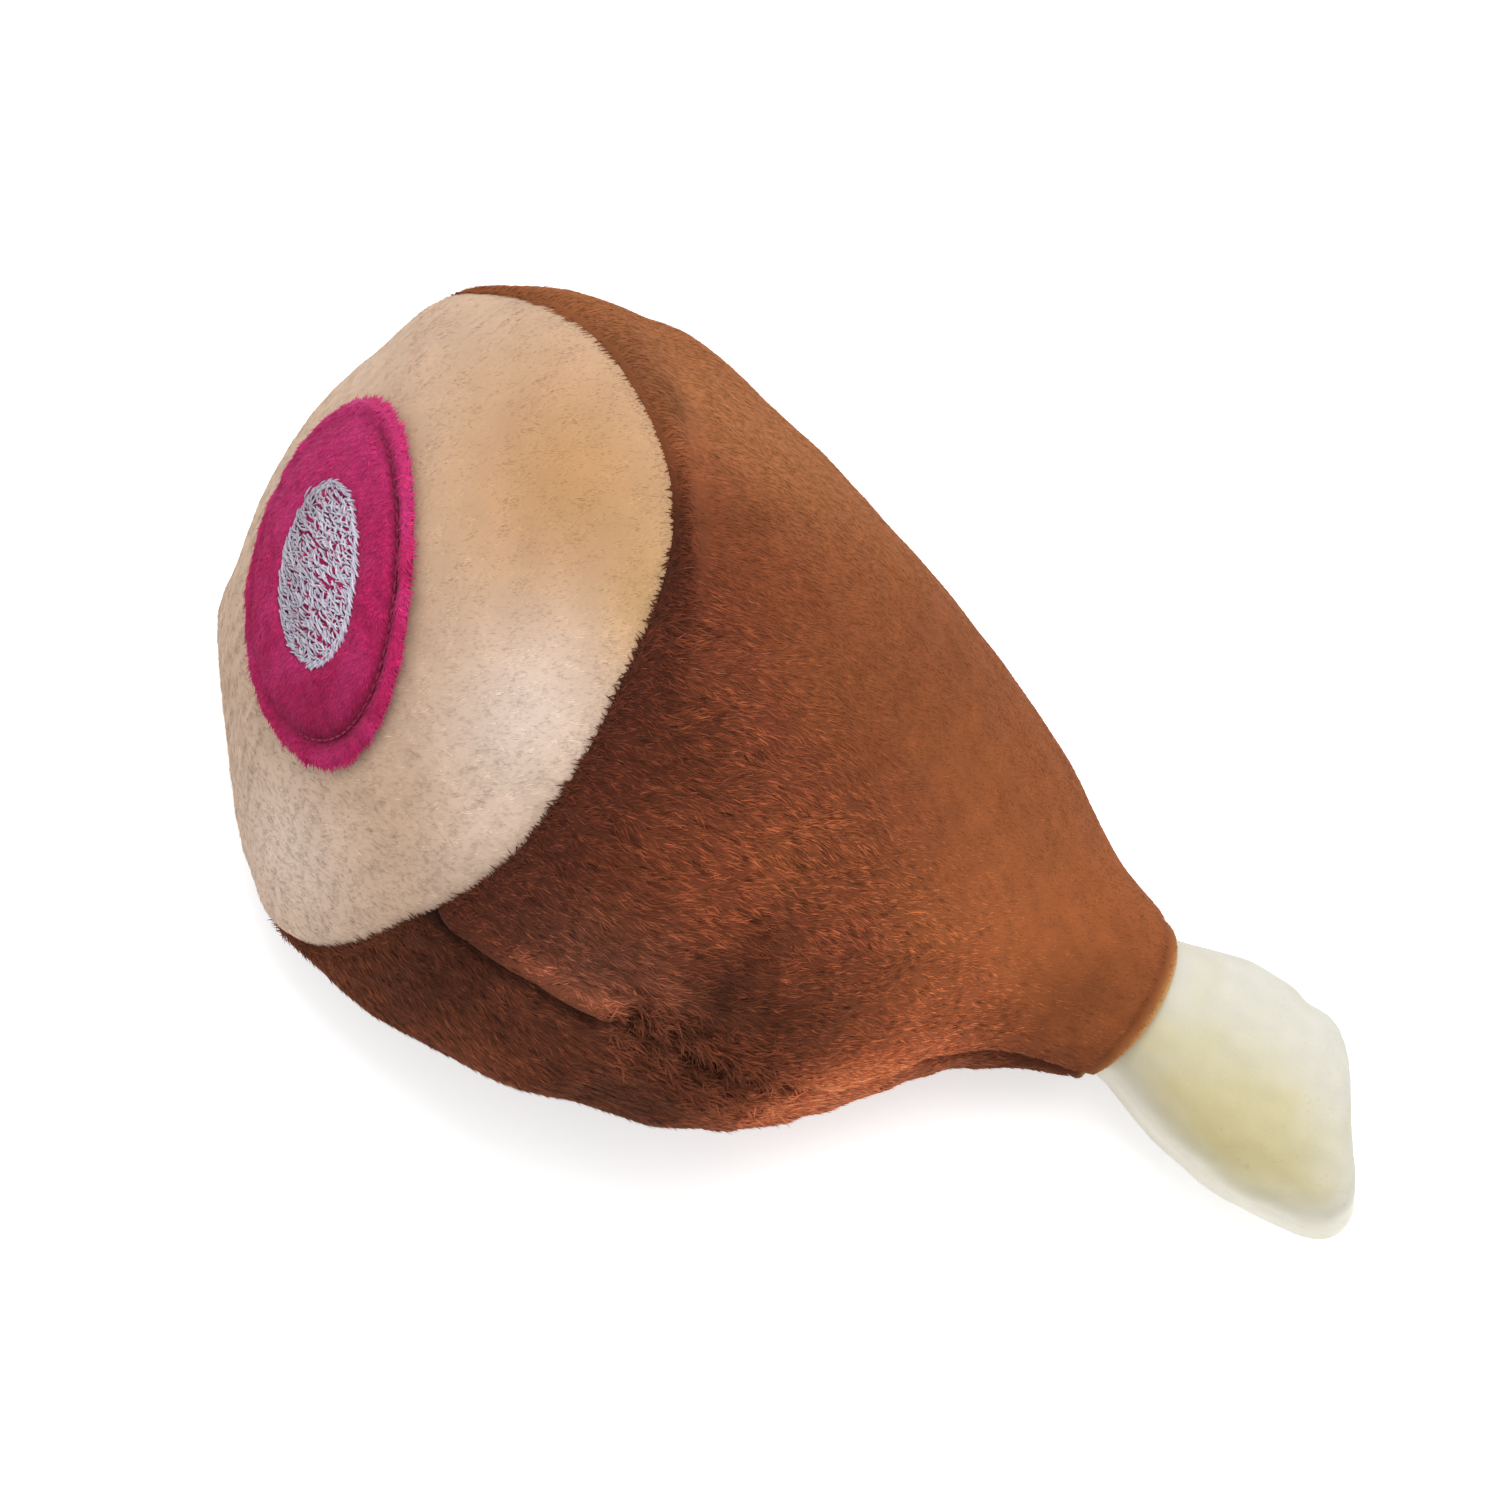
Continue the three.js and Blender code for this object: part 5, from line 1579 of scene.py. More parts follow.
    def lift_at(self, form: PanelForm) -> Array:
        """Height of the cloth over the plain form: seams pulled in, a lapped fold, puckers and a hem."""
        t, turn, points = form.t, form.turn, form.plain
        from_face, from_rim = form.from_face, form.from_rim
        toward = seen(points, TO_FAR_CONTOUR)
        taut = 1 - 0.55 * eased(toward, 0, 16) - 0.45 * eased(-toward, 34, 46)
        lift = (0.3 * Ripples(24, 42)(points) + 0.12 * Ripples(8, 43)(points)) * taut
        lift = lift * eased(from_face, 0, 8) * eased(from_rim, 0, 14)
        lift += self.face_seam.at(from_face)
        for swell in self.swells:
            lift += swell.at(t, turn) * eased(from_face, 0, 4)
        lift += self.far_seam.at(form.from_far)
        lap = self.lap_over if form.upper else self.lap_under
        lift += lap.at(form.from_near) * form.lapped * eased(t, 0.0, 0.02)
        lift += self.near_seam.at(form.from_near) * (1 - form.lapped) * (1 - 0.75 * form.hidden)
        lift -= self.puckered(form)
        lift += eased(t, 0.24, 0.32) * (1 - eased(t, 0.56, 0.64)) * self.gather.at(form.from_near)
        crease = bell(turn, np.radians(np.interp(t, self.crease_places, self.crease_turns)), 0.07)
        lift -= self.crease_depth * crease * (1 - eased(t, 0.18, 0.3)) * eased(from_face, 1, 6)
        hem = sum(ridge.at(from_rim) for ridge in self.hem)
        return lift + hem - self.sink * eased(from_rim, 0, 12)

    def puckered(self, form: PanelForm) -> Array:
        """Depth of the dimples that the closing stitches pull."""
        depths = [
            depth * np.exp(-(((form.t - place) * 150) ** 2 + (form.beside_seam - aside) ** 2) / size**2)
            for place, aside, size, depth in self.puckers
        ]
        return np.sum(depths, axis=0)

    def tone_at(self, form: PanelForm, points: Array) -> Array:
        """Colour of the pile, with painted light and shade: darker beside the face and on the belly, orange
        toward the top and the neck where the light falls.
        """
        t, degrees = form.t, np.degrees(form.turn)
        cloud = Ripples(26, 44)(points)
        # Painted light: lighter toward the top and the neck.
        lit = eased(t * 60 + (70 - np.minimum(degrees, 200)) * 0.55 + cloud * 5, -4, 34)
        tone = tinted(painted(points, self.mid), self.lit, 0.75 * lit)
        # Painted shade beside the face's seam.
        beside = bell(t, 0.0, 0.16) * eased(degrees, 78, 96) * (1 - eased(degrees, 168, 186))
        tone = tinted(tone, self.dark, 0.8 * beside)
        # Painted shade on the belly.
        if not form.upper:
            tone = tinted(tone, self.belly, 0.6 - 0.5 * eased(degrees, 240, 345))
        tone = tone * (1 + 0.05 * Ripples(5, 45)(points))[..., None]
        return self.shadowed(form, shaded_by_strokes(tone, points, self.strokes))

    def shadowed(self, form: PanelForm, tone: Array) -> Array:
        """Painted shade in dimples, under the lap and at seams, with a tan painted highlight at the hem and a
        painted highlight on the lapped fold's edge.
        """
        t, from_near, crisp = form.t, form.from_near, form.crisp
        tone = tone * (1 - 0.3 * np.clip(self.puckered(form), 0, 2))[..., None]
        # Painted shadow under the lapped fold and along the near seam.
        under = 0.85 * crisp + 0.4 * (1 - crisp) * (1 - form.hidden)
        wide, share = (1.1, 0.15) if form.upper else (1.1 + 2.2 * crisp, 1)
        shadow = 1 - under * bell(from_near, 0, wide) * share
        shadow = shadow * (1 - 0.15 * bell(form.from_face, 0, 1.2))
        shadow = shadow * (1 - 0.2 * bell(form.from_rim, 2.4, 0.6))
        tone = tinted(tone * shadow[..., None], self.hem_edge, 0.9 * bell(form.from_rim, 0.0, 0.9))
        if form.upper:
            # Painted highlight along the lapped fold's edge.
            edge = bell(from_near, 1.8, 1.8) * (1 - eased(t, 0.22, 0.3)) * eased(t, 0.02, 0.08)
            tone = tone * (1 + 0.35 * edge)[..., None]
        return tone

    def grid(self, panel: Panel, rows: int, columns: int) -> tuple[Array, Array]:
        """Shares along the leg, and turns across the panel, closer together near the edges."""
        t, across = np.meshgrid(closer_at_ends(rows, 0.75), closer_at_ends(columns, 0.8), indexing="ij")
        near, far = self.near_turn(t), math.radians(self.far_turn)
        if panel is Panel.UPPER:
            return t, blended(far - 2 * np.pi, near, across)
        return t, blended(near, far, across)

    def form(self, panel: Panel, rows: int, columns: int) -> PanelForm:
        """Plain form of a panel: the leg's skin, drawn out over the bone's top at the neck's rim."""
        t, turn = self.grid(panel, rows, columns)
        facing = np.clip(np.cos(turn - math.radians(self.rim_turn)), 0, 1) ** 1.2
        reach = self.rim_reach * facing * eased(t, 0.84, 1.0)
        plain = HAM.leg(t, turn) - HAM.neck.face * reach[..., None]
        out = HAM.leg_out(t, turn)
        crest = bell(turn_from(turn, self.crest_turn), 0, 16) * bell(t, self.crest_place, 0.045)
        plain, out = evened(plain, crest, self.evening_passes), unit(evened(out, crest, self.evening_passes))
        return PanelForm(panel, t, turn, plain + out * (0.12 * reach)[..., None], out)

    def surface(self, panel: Panel, rows: int, columns: int) -> Skin:
        """Outer face of a panel, from the face's seam to the neck's rim and from seam to seam."""
        form = self.form(panel, rows, columns)
        t, turn, from_near = form.t, form.turn, form.from_near
        points = form.plain + form.out * self.lift_at(form)[..., None] + seam_swell(turn, form.from_face)
        start = np.zeros_like(turn)
        own = HAM.leg(start, turn) - HAM.leg_out(start, turn) * (self.sink - self.face_seam.height)
        to_seam = HAM.dome(HAM.seam_angle(turn), turn, -1.3) - own
        points = points + to_seam * bell(form.from_face, 0, 2.5)[..., None]
        normals = grid_normals(points, False, form.plain.mean((0, 1)) * [1, 1, 0] + [0, 0, -12])
        normals = np.where((normals * form.out).sum(-1, keepdims=True) < 0, -normals, normals)
        tuft = bell(t, 0.3, 0.05) * bell(from_near, 0, 4)
        tuft = np.clip(tuft + 0.8 * bell(t, 0.44, 0.12) * bell(from_near, 0, 6), 0, 1)
        short = 0.6 * form.crisp * bell(from_near, 0, 1.6)
        length = 1 + 0.3 * tuft - 0.6 * (1 - eased(form.from_rim, 0, 4)) - short
        length = length * (1 - 0.3 * eased(seen(points, VIEW_RIGHT), 5, 30))
        ruffle = 0.2 + 0.95 * eased(-seen(points, TO_FAR_CONTOUR), -22, 2) + 0.6 * tuft
        nap = np.broadcast_to(BROWN_NAP, points.shape)
        return Skin(
            points, normals, nap, self.tone_at(form, points), length, lean=1 + 1.5 * tuft, ruffle=ruffle)

    def fringe(self, skin: Skin) -> Cut:
        """Brown tufts that lean out over the disc's edge."""
        edge = Skin(*(getattr(skin, each.name)[:4] for each in fields(skin)[:-1]))
        toward_disc = unit(skin.points[:4] - skin.points[4:8])
        return self.fringe_pile.grow(replace(edge, nap=toward_disc + 0.4 * VIEW_RIGHT, lean=edge.lean * 1.4))

    def closing_tufts(self, skin: Skin) -> Cut:
        """Pile that the closing stitches caught and left standing every way."""
        caught = np.clip(skin.lean - 1.15, 0, None)
        return self.tufts.grow(replace(skin, length=1.0, lean=1.0, density=caught, ruffle=1.2))

    def cloth(self, panel: Panel, skin: Skin) -> Cut:
        """Cloth under a panel's pile, its edges turned in along both side seams, with painted shade: darker
        under the pile and inside the turned edges.
        """
        step = unit(np.diff(skin.points, axis=1))
        first, last = step[:, 0], -step[:, -1]
        # Painted shade on the cloth under the pile, deeper where the pile is rough.
        under_pile_shade = blended(0.94, 0.6, np.clip(skin.ruffle, 0, 1))[..., None]
        run = run_along(skin.points, 1)
        near_first = np.clip(self.turned_edge - run, 0, None)[..., None]
        near_last = np.clip(self.turned_edge - (run[:, -1:] - run), 0, None)[..., None]
        back = skin.points - skin.normals * HAM.cloth
        back = back + near_first * first[:, None] + near_last * last[:, None]
        front, back, tones = [skin.points], [back], [skin.tone * under_pile_shade]
        depth = blended(4.4, 2.4, eased(np.linspace(0, 1, self.rows), 0.75, 0.95))[:, None]
        t, turn = self.grid(panel, self.rows, self.columns)
        for column, aside, place in ((0, first, 0), (-1, last, 2)):
            into = HAM.leg_out(t[:, column], turn[:, column])
            inside = skin.points[:, column] - into * depth + aside * 0.35
            front.insert(place, inside[:, None])
            back.insert(place, (inside + aside * 0.9)[:, None])
            # Painted shade where the edge turns in.
            tones.insert(place, skin.tone[:, column][:, None] * 0.3)
        # The hidden back takes the painted shade's colour, darker, and the hem's rows take the highlight's
        # colour, darker.
        under = np.tile(linear(self.dark) * 0.8, (self.rows, self.columns + 2, 1))
        under[-2:] = linear(self.hem_edge) * 0.7
        sheets = (np.concatenate(parts, axis=1) for parts in (front, back))
        return shell(*sheets, False, np.concatenate(tones, axis=1), under.reshape(-1, 3))

    def build(self) -> None:
        """Both panels: cloth, pile, the fringe along the face and the tufts at the closing stitch."""
        for panel in Panel:
            skin = self.surface(panel, self.rows, self.columns)
            grown = self.pile.grow(self.surface(panel, *self.pile_grid))
            parts = [self.cloth(panel, skin), grown, self.fringe(skin), self.closing_tufts(skin)]
            made = joined(parts).above_floor()
            name, node = f"leg_plush_{panel.value}", f"body_panel_{panel.value}"
            bent_with_neck(self.finishes.piece(name, made, Slot.BROWN, node, None, 0.85))


@dataclass
class Bone:
    """Cream bone stub: two panels sewn all round, stuffed, with its ball held in the neck."""

    finishes: Finishes
    rows: int = 84
    columns: int = 80
    cloth: float = 1.1
    base: str = "#c5bc97"
    light: str = "#c9c6bb"
    shade: str = "#bbaf7e"
    # Painted light beside the near seam.
    white: str = "#f8f4e4"
    swells: tuple[Swell, ...] = (
        Swell(0.25, 198, 0.35, 35, 0.6), Swell(0.15, 18, 0.3, 40, 0.8), Swell(1.2, 178, 0.4, 36, 1.8),
        Swell(0.8, 14, 0.4, 30, 0.4),
    )
    near_turn: float = 172.0
    near_seam: Ridge = Ridge(-0.22, 0.9)
    far_seam: Ridge = Ridge(-0.06, 0.9)
    evening_passes: int = 30
    # A place inside the bone, from the neck's pivot.
    inside: tuple[float, float, float] = (18.0, -4.0, -2.0)
    sink: float = 0.05
    pile: Pile = Pile(
        0.6, 0.22, 6.0, lean=8, lean_spread=4, way_spread=14, sway=9, tone_spread=0.01,
        root_shade=0.98, tip_light=1.0, streak_depth=0.01, seed=71,
    )

    def surface(self, panel: Panel) -> Skin:
        """Outer face of one panel: from inside the neck over the shaft to the middle of the end."""
        upper = panel is Panel.UPPER
        way, across = np.meshgrid(
            np.linspace(-0.75, 2, self.rows), closer_at_ends(self.columns, 0.8), indexing="ij")
        seam = math.radians(self.near_turn)
        turn = seam * across if upper else blended(seam, 2 * np.pi, across)
        shaft = eased(way, 0.2, 0.6) * (1 - eased(way, 1.5, 1.8))
        plain = evened(BONE.skin(way, turn), shaft, self.evening_passes)
        middle = HAM.neck_pivot + np.array(self.inside)
        out = grid_normals(plain, False, middle)
        run = run_along(plain, 1)
        from_near = run[:, -1:] - run if upper else run
        lift = (0.15 * Ripples(12, 72)(plain) + 0.03 * Ripples(4, 73)(plain)) * eased(way, 0.1, 0.5)
        groove = self.near_seam.at(from_near) + self.far_seam.at(run[:, -1:] - from_near)
        lift += groove * (1 - eased(way, 1.0, 1.6))
        for swell in self.swells:
            lift += swell.at(way, turn) * (1 - eased(way, 1.6, 1.95))
        lift -= self.sink * eased(way, 0.0, 0.3)
        points = plain + out * lift[..., None]
        return Skin(
            points, grid_normals(points, False, middle),
            np.broadcast_to(VIEW_RIGHT - 0.5 * VIEW_UP, points.shape),
            self.tone_at(way, turn, points, np.minimum(run, run[:, -1:] - run),
                         bell(from_near, 0, 2.0 if upper else 9.0)),
            length=0.35 + 0.65 * eased(way, 0.0, 0.25), density=eased(way, -0.4, -0.1) + 0.001,
        )

    def tone_at(self, way: Array, turn: Array, points: Array, from_seam: Array, lit_beside_seam: Array) -> Array:
        """Colour of the pile: yellow toward the viewer and grey elsewhere, with a patch of painted shade on
        the near side, painted light beside the near seam and a little painted shade at the seams.
        """
        degrees = np.degrees(turn)
        yellow = bell(degrees, 122, 38) * bell(way, 0.55, 0.62) + 0.2 * eased(Ripples(9, 75)(points), 0, 1.5)
        tone = tinted(painted(points, self.base), self.light, np.clip(1.0 - 1.1 * yellow, 0, 1))
        # Painted shade: darker yellow on the near side of the shaft.
        tone = tinted(tone, self.shade, 0.7 * bell(degrees, 140, 20) * bell(way, 0.5, 0.45))
        # Painted light beside the near seam.
        tone = tinted(tone, self.white, 0.85 * lit_beside_seam)
        # Painted shade at the seams.
        tone = tone * (1 - 0.05 * bell(from_seam, 0, 1.0))[..., None]
        return tone * (1 + 0.015 * Ripples(5, 74)(points))[..., None]

    def panel(self, panel: Panel) -> None:
        """One cream panel with its pile."""
        skin = self.surface(panel)
        back = skin.points - skin.normals * self.cloth
        # Painted shade on the cloth under the pile.
        cloth = shell(skin.points, back, False, skin.tone * 0.94, linear(self.shade) * 0.8)
        made = joined([cloth, self.pile.grow(skin)]).above_floor()
        name, node = f"bone_plush_{panel.value}", f"bone_panel_{panel.value}"
        self.finishes.piece(name, made, Slot.CREAM, node, "bone", 0.8)

    def seam(self) -> None:
        """Stitches inside the bone's seam, up one side, over the end and down the other."""
        way = np.concatenate([np.linspace(0.36, 1.9, 60), np.linspace(1.9, 0.36, 60)])
        turn = np.repeat([np.pi, 0.0], 60)
        outer = BONE.skin(way, turn)
        shaft = np.minimum(way, 1.0)
        middle = (BONE.skin(shaft, np.zeros(120)) + BONE.skin(shaft, np.full(120, np.pi))) / 2
        inward = unit(middle - outer)
        path = outer + inward * (2.1 + 0.9 * eased(way, 1.2, 1.6))[:, None]
        cut = stitch_row(path, -inward, SHORT_STITCH, FINE_THREAD, "#d8d0a8")
        self.finishes.piece("bone_seam_stitches", cut, Slot.CREAM_THREAD, "bone_seam_thread", "bone")

    def build(self) -> None:
        """Both panels and the seam's stitches."""
        for panel in Panel:
            self.panel(panel)
        self.seam()


def stitch_row(path: Array, up: Array, length: float, radius: float, colour: str) -> Cut:
    """Machine stitches end to end along a path: each an arched round thread.

    Args:
        path: (points, 3) the seam line in mm.
        up: (points, 3) outward directions along it.
        length: length of a stitch in mm.
        radius: radius of the thread in mm.
        colour: sRGB hex colour of the thread.

    Returns:
        All stitches.
    """
    run = run_along(path)
    count = max(int(run[-1] / length), 1)
    at = (np.arange(count)[:, None] + np.linspace(0.06, 0.94, 5)[None]) * run[-1] / count
    line = lambda values: np.stack([np.interp(at, run, values[:, i]) for i in range(3)], -1)
    ups = unit(line(up))
    arch = STITCH_ARCH[None, :, None] * radius * 2
    radii = np.broadcast_to(radius * STITCH_TAPER, at.shape)
    return tubes(line(path) + ups * arch, radii, ups, 6, linear(colour))


@dataclass(frozen=True)
class SideSeam:
    """Stretch of a side seam: its piece, its CAD node, and the shares of the leg that it runs between."""

    name: str
    node: str
    low: float
    high: float
    near: bool = True
    ladder: bool = False
    at_neck: bool = False


@dataclass
class SeamThreads:
    """The leg's sewing: round the face, along both sides, the hand-sewn closing and the neck."""

    finishes: Finishes
    leg: Leg
    depth: float = 3.3
    radius: float = 0.3
    stitch: float = 2.6
    ladder_stitch: float = 3.4
    ladder_zigzag: float = 1.2
    neck_ring: float = 9.8
    neck_back: float = 3.0
    samples: int = 90
    colour: str = "#6b3a28"
    neck_colour: str = "#e4e1d2"
    seams: tuple[SideSeam, ...] = (
        SideSeam("side_seam_stitches_face", "panel_seam_thread_face_end", 0.1, 0.34),
        SideSeam("side_seam_stitches_neck", "panel_seam_thread_neck_end", 0.54, 0.8, at_neck=True),
        SideSeam("closing_ladder_stitches", "closing_stitch", 0.36, 0.52, ladder=True),
        SideSeam("side_seam_stitches_far", "panel_seam_thread_far", 0.1, 0.8, near=False, at_neck=True),
    )

    def side(self, seam: SideSeam) -> None:
        """Stitches inside a stretch of side seam: even ones, or a ladder that swings in and out."""
        t = np.linspace(seam.low, seam.high, self.samples)
        far_turn = math.radians(self.leg.far_turn)
        turn = self.leg.near_turn(t) if seam.near else np.full(self.samples, far_turn)
        out = HAM.leg_out(t, turn)
        swing = 0.5 - 0.5 * np.cos(np.arange(self.samples) * 2 * np.pi / 7.5)
        depth = self.depth + (self.ladder_zigzag if seam.ladder else 0) * swing
        depth = depth + 0.6 * (1 - eased(t, 0.24, 0.32)) * seam.near
        path = HAM.leg(t, turn) - out * depth[:, None]
        length = self.ladder_stitch if seam.ladder else self.stitch
        cut = stitch_row(path, out, length, self.radius, self.colour)
        body = None if seam.at_neck else "leg"
        piece = self.finishes.piece(seam.name, cut, Slot.BROWN_THREAD, seam.node, body)
        if seam.at_neck:
            bent_with_neck(piece)

    def build(self) -> None:
        """Every thread of the leg."""
        turn = np.linspace(0, 2 * np.pi, 240)
        into = HAM.seam_mitre(turn)
        along = unit(HAM.leg(np.full(240, 0.01), turn) - HAM.leg(np.zeros(240), turn))
        path = HAM.dome(HAM.seam_angle(turn), turn) + into * 3.1 + along * 0.6
        ring = stitch_row(path, -into, self.stitch, FINE_THREAD, self.colour)
        self.finishes.piece("disc_seam_stitches", ring, Slot.BROWN_THREAD, "disc_seam_thread", "leg")
        for seam in self.seams:
            self.side(seam)
        around = HAM.neck.spoke(turn)
        path = HAM.neck_centre + HAM.neck.face * self.neck_back + self.neck_ring * around
        cut = stitch_row(path, around, SHORT_STITCH, FINE_THREAD, self.neck_colour)
        piece = self.finishes.piece("neck_seam_stitches", cut, Slot.CREAM_THREAD, "neck_seam_thread", None)
        bent_with_neck(piece)


@dataclass
class Stuffing:
    """Loose polyester fibre: each wad is its CAD form, remeshed and made lumpy inwards."""

    finishes: Finishes
    voxel_mm: float = 1.8
    lumps: float = 0.5
    floor_gap_mm: float = 0.5
    wads: tuple[tuple[str, str, str | None], ...] = (
        ("fibre_wad_face_end", "filling_face_end", "leg"),
        ("fibre_wad_neck_end", "filling_neck_end", None),
        ("fibre_wad_neck", "neck_filling", "neck"),
        ("fibre_wad_bone", "bone_filling", "bone"),
    )

    def remeshed(self, name: str, node: Object) -> bpy.types.Mesh:
        """A copy of a filling's mesh, merged, made of even cells and smoothed."""
        work = bmesh.new()
        work.from_mesh(node.data)
        bmesh.ops.remove_doubles(work, verts=work.verts, dist=1e-6)
        mesh = bpy.data.meshes.new(name)
        work.to_mesh(mesh)
        work.free()
        raw = linked(name + "_raw", mesh)
        remesh = raw.modifiers.new("voxels", "REMESH")
        remesh.mode, remesh.voxel_size = "VOXEL", self.voxel_mm * MM
        relax = raw.modifiers.new("relax", "SMOOTH")
        relax.factor, relax.iterations = 0.5, 4
        graph = bpy.context.evaluated_depsgraph_get()
        done = bpy.data.meshes.new_from_object(raw.evaluated_get(graph))
        bpy.data.objects.remove(raw)
        return done

    def wad(self, name: str, node: Object, body: str | None) -> None:
        """A filling's mesh, pulled in unevenly. Where no body carries it, its place is baked into its mesh.
        """
        mesh = self.remeshed(name, node)
        points, normals = np.empty((2, len(mesh.vertices) * 3), np.float32)
        mesh.vertices.foreach_get("co", points)
        mesh.vertex_normals.foreach_get("vector", normals)
        points, normals = (values.reshape(-1, 3).astype(float) for values in (points, normals))
        local = points / MM
        pull = self.lumps * (0.55 + 0.3 * Ripples(7, 81)(local) + 0.15 * Ripples(3, 82)(local))
        points -= normals * np.clip(pull, 0.05, 1.2)[:, None] * MM
        points[:, 2] = np.maximum(points[:, 2], self.floor_gap_mm * MM)
        mesh.vertices.foreach_set("co", points.astype(np.float32).ravel())
        mesh.polygons.foreach_set("use_smooth", np.ones(len(mesh.polygons), bool))
        mesh.materials.clear()
        mesh.materials.append(self.finishes[Slot.FIBRE])
        mesh.update()
        mesh.name = name
        piece = dressed(linked(name, mesh), Slot.FIBRE, node.name, body)
        if not body:
            bent_with_neck(piece)

    def build(self, nodes: dict[str, Object]) -> None:
        """Every wad."""
        for name, node, body in self.wads:
            self.wad(name, nodes[node], body)


@dataclass
class Squeaker:
    """Blow-moulded bulb with a whistle pressed in its mouth, a reed, and a clip cap."""

    finishes: Finishes
    radius: float = 18.0
    height: float = 22.0
    wall: float = 1.0
    rounding: float = 9.0
    mouth: float = 4.9
    sides: int = 72
    parting_line: float = 0.18
    whistle_sides: int = 48
    whistle_length: float = 11.0
    bore: float = 3.0
    stem: float = 4.6
    lead_in: float = 0.15
    flange: float = 6.4
    flange_thickness: float = 1.4
    bevel: float = 0.2

    def outline(self, offset: float) -> Array:
        """Bulb's side from its base to its mouth: quarter circle, straight, quarter circle."""
        radius, top, rounding = self.radius - offset, self.height - offset, self.rounding - offset
        corner = lambda centre, angle: np.stack(
            [radius - rounding + rounding * np.cos(angle), centre + rounding * np.sin(angle)], -1
        )
        low, high = np.radians(np.linspace(-90, 0, 12)), np.radians(np.linspace(0, 90, 12))
        return np.concatenate([corner(offset + rounding, low), corner(top - rounding, high)])

    def bulb(self) -> None:
        """The bulb, with the parting line of its mould round the middle."""
        outer = self.outline(0)
        line = [
            (self.radius + self.parting_line * raised, self.height / 2 + up)
            for raised, up in ((0, -0.4), (1, -0.15), (1, 0.15), (0, 0.4))
        ]
        profile = np.concatenate([
            [[0, 0]], outer[:12], line, outer[12:], [[self.mouth, self.height]],
            [[self.mouth, self.height - self.wall]], self.outline(self.wall)[::-1], [[0, self.wall]],
        ])
        cut = turned(profile, self.sides, linear(SOFT_WHITE), SQUEAKER_PLACE)
        piece = self.finishes.piece("squeaker_bulb_moulded", cut, Slot.SOFT_PLASTIC, "squeaker_bulb", "leg")
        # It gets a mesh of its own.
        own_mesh(piece)

    def whistle(self) -> None:
        """The whistle: a stem in the bulb's mouth and a flange on its shoulder, with bevelled edges."""
        seat = self.height + HAM.clearance
        top = seat + self.flange_thickness
        low, lead_in, bevel = top - self.whistle_length, self.lead_in, self.bevel
        profile = np.array([
            (self.bore, low), (self.stem - lead_in, low), (self.stem, low + lead_in), (self.stem, seat),
            (self.flange - bevel, seat), (self.flange, seat + bevel), (self.flange, top - bevel),
            (self.flange - bevel, top), (self.bore + bevel, top), (self.bore, top - bevel),
        ])
        cut = turned(profile, self.whistle_sides, linear(HARD_WHITE), SQUEAKER_PLACE)
        name, node = "squeaker_whistle_moulded", "squeaker_whistle"
        self.finishes.piece(name, cut, Slot.HARD_PLASTIC, node, "squeaker_top", smooth=False)

    def build(self, nodes: dict[str, Object]) -> None:
        """The bulb and the whistle; the cap and the reed keep their CAD shape."""
        self.bulb()
        self.whistle()
        for name in ("squeaker_cap", "squeaker_reed"):
            nodes[name].data.materials.clear()
            nodes[name].data.materials.append(self.finishes[Slot.HARD_PLASTIC])


# Studio


def plain_rays(tree: NodeTree) -> NodeSocket:
    """1 for the camera's rays, glossy rays and rays through the object, 0 for those that carry light."""
    rays = add_node(tree, "LightPath").outputs
    seen_rays = add_node(
        tree, "Math", {0: rays["Is Camera Ray"], 1: rays["Is Glossy Ray"]}, operation="MAXIMUM"
    )
    through = {0: seen_rays.outputs[0], 1: rays["Is Transmission Ray"]}
    return add_node(tree, "Math", through, operation="MAXIMUM").outputs[0]


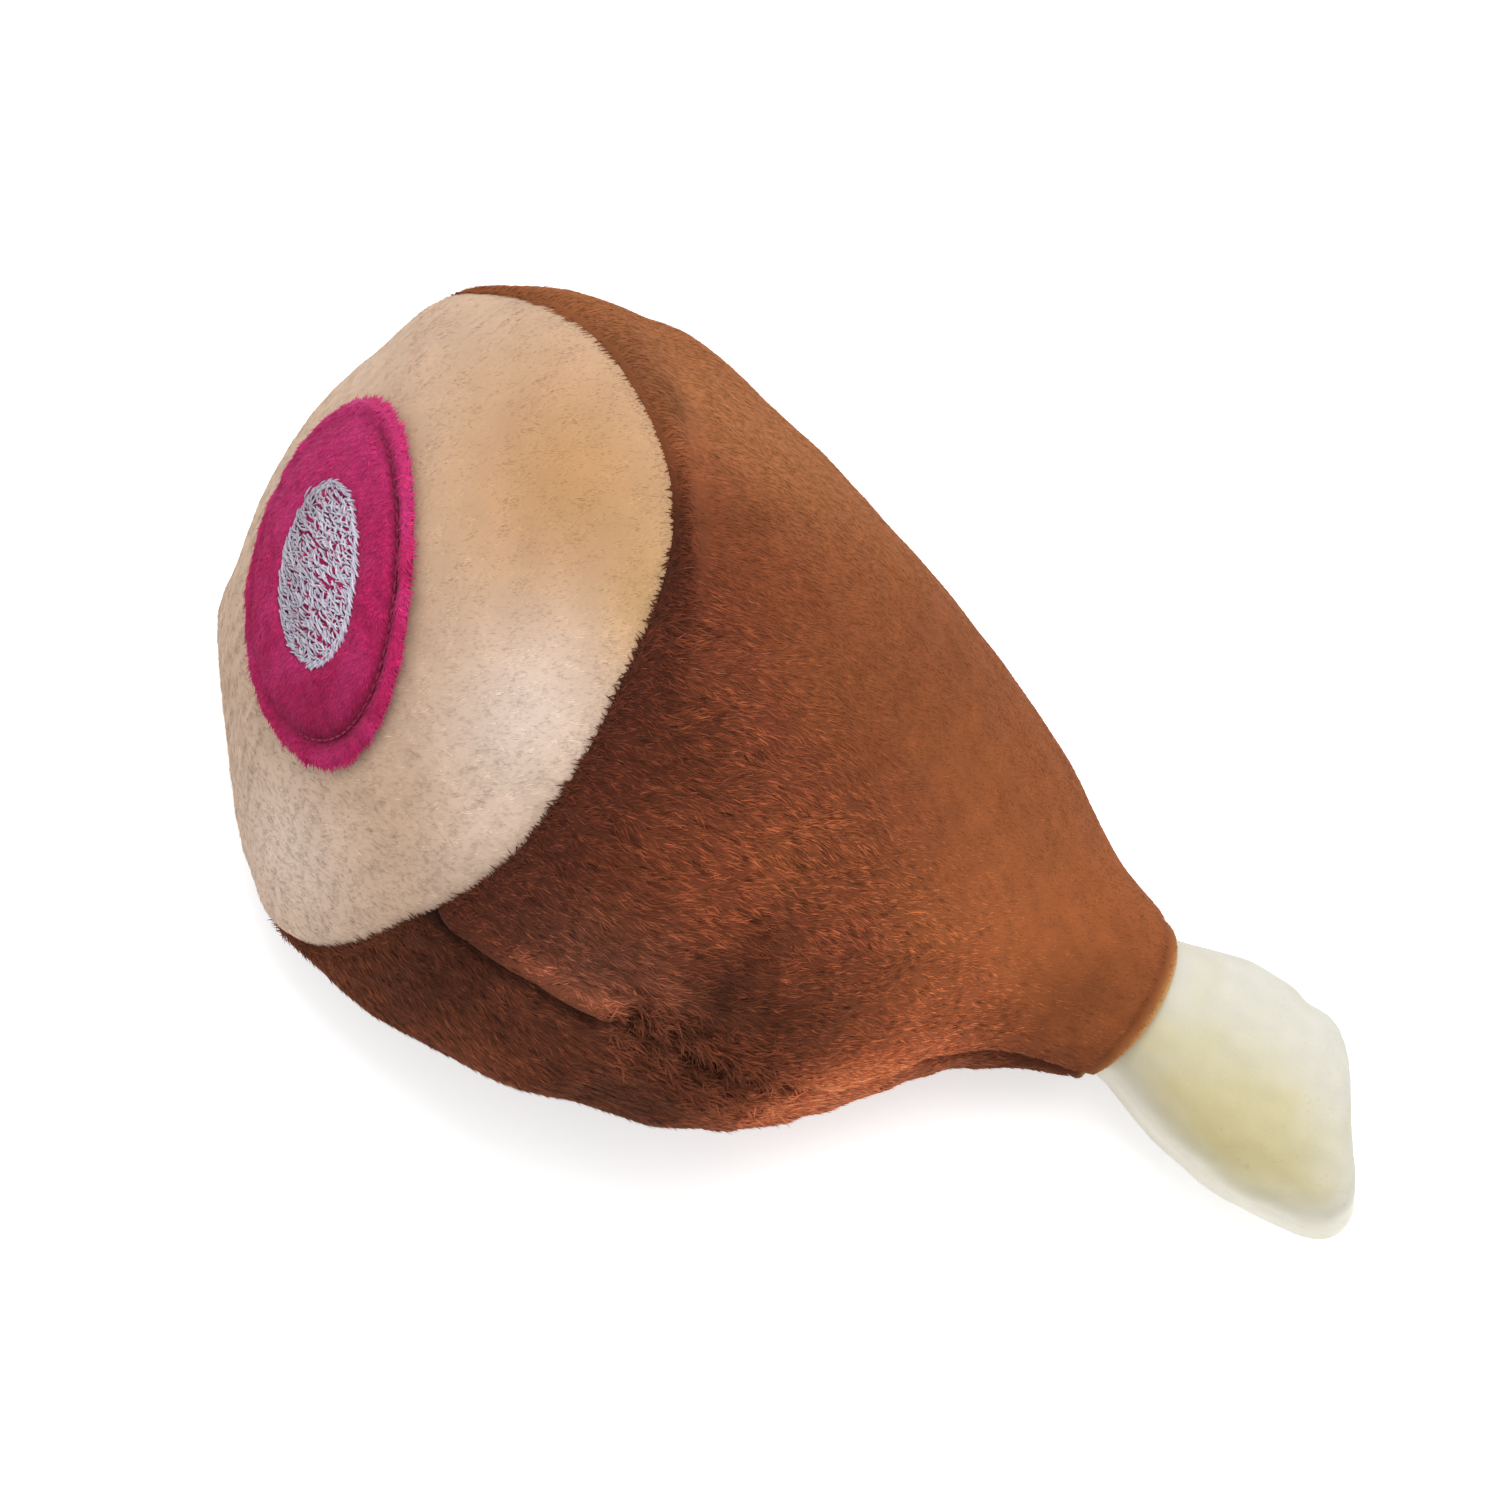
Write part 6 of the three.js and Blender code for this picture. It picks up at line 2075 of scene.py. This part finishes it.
@dataclass
class Studio:
    """Plain pale floor, soft light from above the far side, and the photograph's camera."""

    lens: float = 120.0
    distance: float = 700.0
    key_watts: float = 6.0
    key_distance: float = 0.9
    key_size: float = 0.7
    fill_level: float = 0.85
    paper_grey: float = 0.9
    paper_glow: float = 0.46
    floor_half: float = 2.0

    def camera(self) -> None:
        """Camera 0.7 m from the toy, looking down at 70 degrees."""
        data = bpy.data.cameras.new("camera")
        data.lens, data.sensor_width = self.lens, 36.0
        data.clip_start, data.clip_end = 0.01, 20.0
        camera = linked("camera", data)
        place = PLACING.metres(VIEW_TARGET + VIEW_BACK * self.distance)
        turn = Matrix([VIEW_RIGHT.tolist(), VIEW_UP.tolist(), VIEW_BACK.tolist()]).transposed()
        camera.matrix_world = Matrix.Translation(Vector(place.tolist())) @ turn.to_4x4()
        bpy.context.scene.camera = camera

    def key_lamp(self) -> None:
        """A square soft lamp over the camera's shoulder that looks at the toy."""
        data = bpy.data.lights.new("soft_key", "AREA")
        data.size, data.energy = self.key_size, self.key_watts
        lamp = linked("soft_key", data)
        way = Vector(unit(VIEW_UP * 0.55 + VIEW_BACK * 0.8 + VIEW_RIGHT * 0.25).tolist())
        lamp.location = way * self.key_distance + Vector((0, 0, 0.03))
        lamp.rotation_mode = "QUATERNION"
        lamp.rotation_quaternion = way.to_track_quat("Z", "Y")

    def world(self) -> None:
        """Grey sky for the light, white for what the camera and glossy rays see."""
        world = bpy.data.worlds.new("pale_room")
        world.use_nodes = True
        tree = world.node_tree
        tree.nodes.clear()
        sky, white = (
            add_node(tree, "Background", {"Color": (1, 1, 1, 1), "Strength": level}).outputs[0]
            for level in (self.fill_level, 1.0)
        )
        both = add_node(tree, "MixShader", {0: plain_rays(tree), 1: sky, 2: white})
        add_node(tree, "OutputWorld", {"Surface": both.outputs[0]})
        bpy.context.scene.world = world

    def floor(self) -> None:
        """White paper floor that keeps the shadow and looks white to the camera where it is lit."""
        half = self.floor_half
        mesh = bpy.data.meshes.new("paper_floor")
        square = [(-half, -half, 0), (half, -half, 0), (half, half, 0), (-half, half, 0)]
        mesh.from_pydata(square, [], [(0, 1, 2, 3)])
        made = bpy.data.materials.new("white_paper")
        made.use_nodes = True
        tree = made.node_tree
        tree.nodes.clear()
        grey = self.paper_grey
        paper = add_node(tree, "BsdfDiffuse", {"Color": (grey, grey, grey, 1)}).outputs[0]
        glow = add_node(tree, "Emission", {"Color": (1, 1, 1, 1), "Strength": self.paper_glow})
        plain = add_node(tree, "AddShader", {0: paper, 1: glow.outputs[0]}).outputs[0]
        both = add_node(tree, "MixShader", {0: plain_rays(tree), 1: paper, 2: plain})
        add_node(tree, "OutputMaterial", {"Surface": both.outputs[0]})
        mesh.materials.append(made)
        floor = linked("paper_floor", mesh)
        floor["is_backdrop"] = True

    def build(self) -> None:
        """Camera, lamp, world and floor."""
        self.camera()
        self.key_lamp()
        self.world()
        self.floor()
        bpy.context.scene.view_settings.view_transform = "Standard"


def corners(bounds: tuple[Vector, Vector]) -> list[list[float]]:
    """A box's two corners as plain lists."""
    return [list(corner) for corner in bounds]


def main() -> None:
    """Builds every sub-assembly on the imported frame."""
    logging.basicConfig(level=logging.INFO, format="%(name)s: %(message)s")
    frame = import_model()
    cad_box = corners(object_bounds())
    PLACING.find()
    nodes, finishes = frame["nodes"], Finishes()
    leg = Leg(finishes)
    EndDisc(finishes).build()
    Patch(finishes).build()
    leg.build()
    SeamThreads(finishes, leg).build()
    Bone(finishes).build()
    Stuffing(finishes).build(nodes)
    Squeaker(finishes).build(nodes)
    Studio().build()
    {"cad": cad_box, "visual": corners(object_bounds())}


if __name__ == "__main__":
    main()
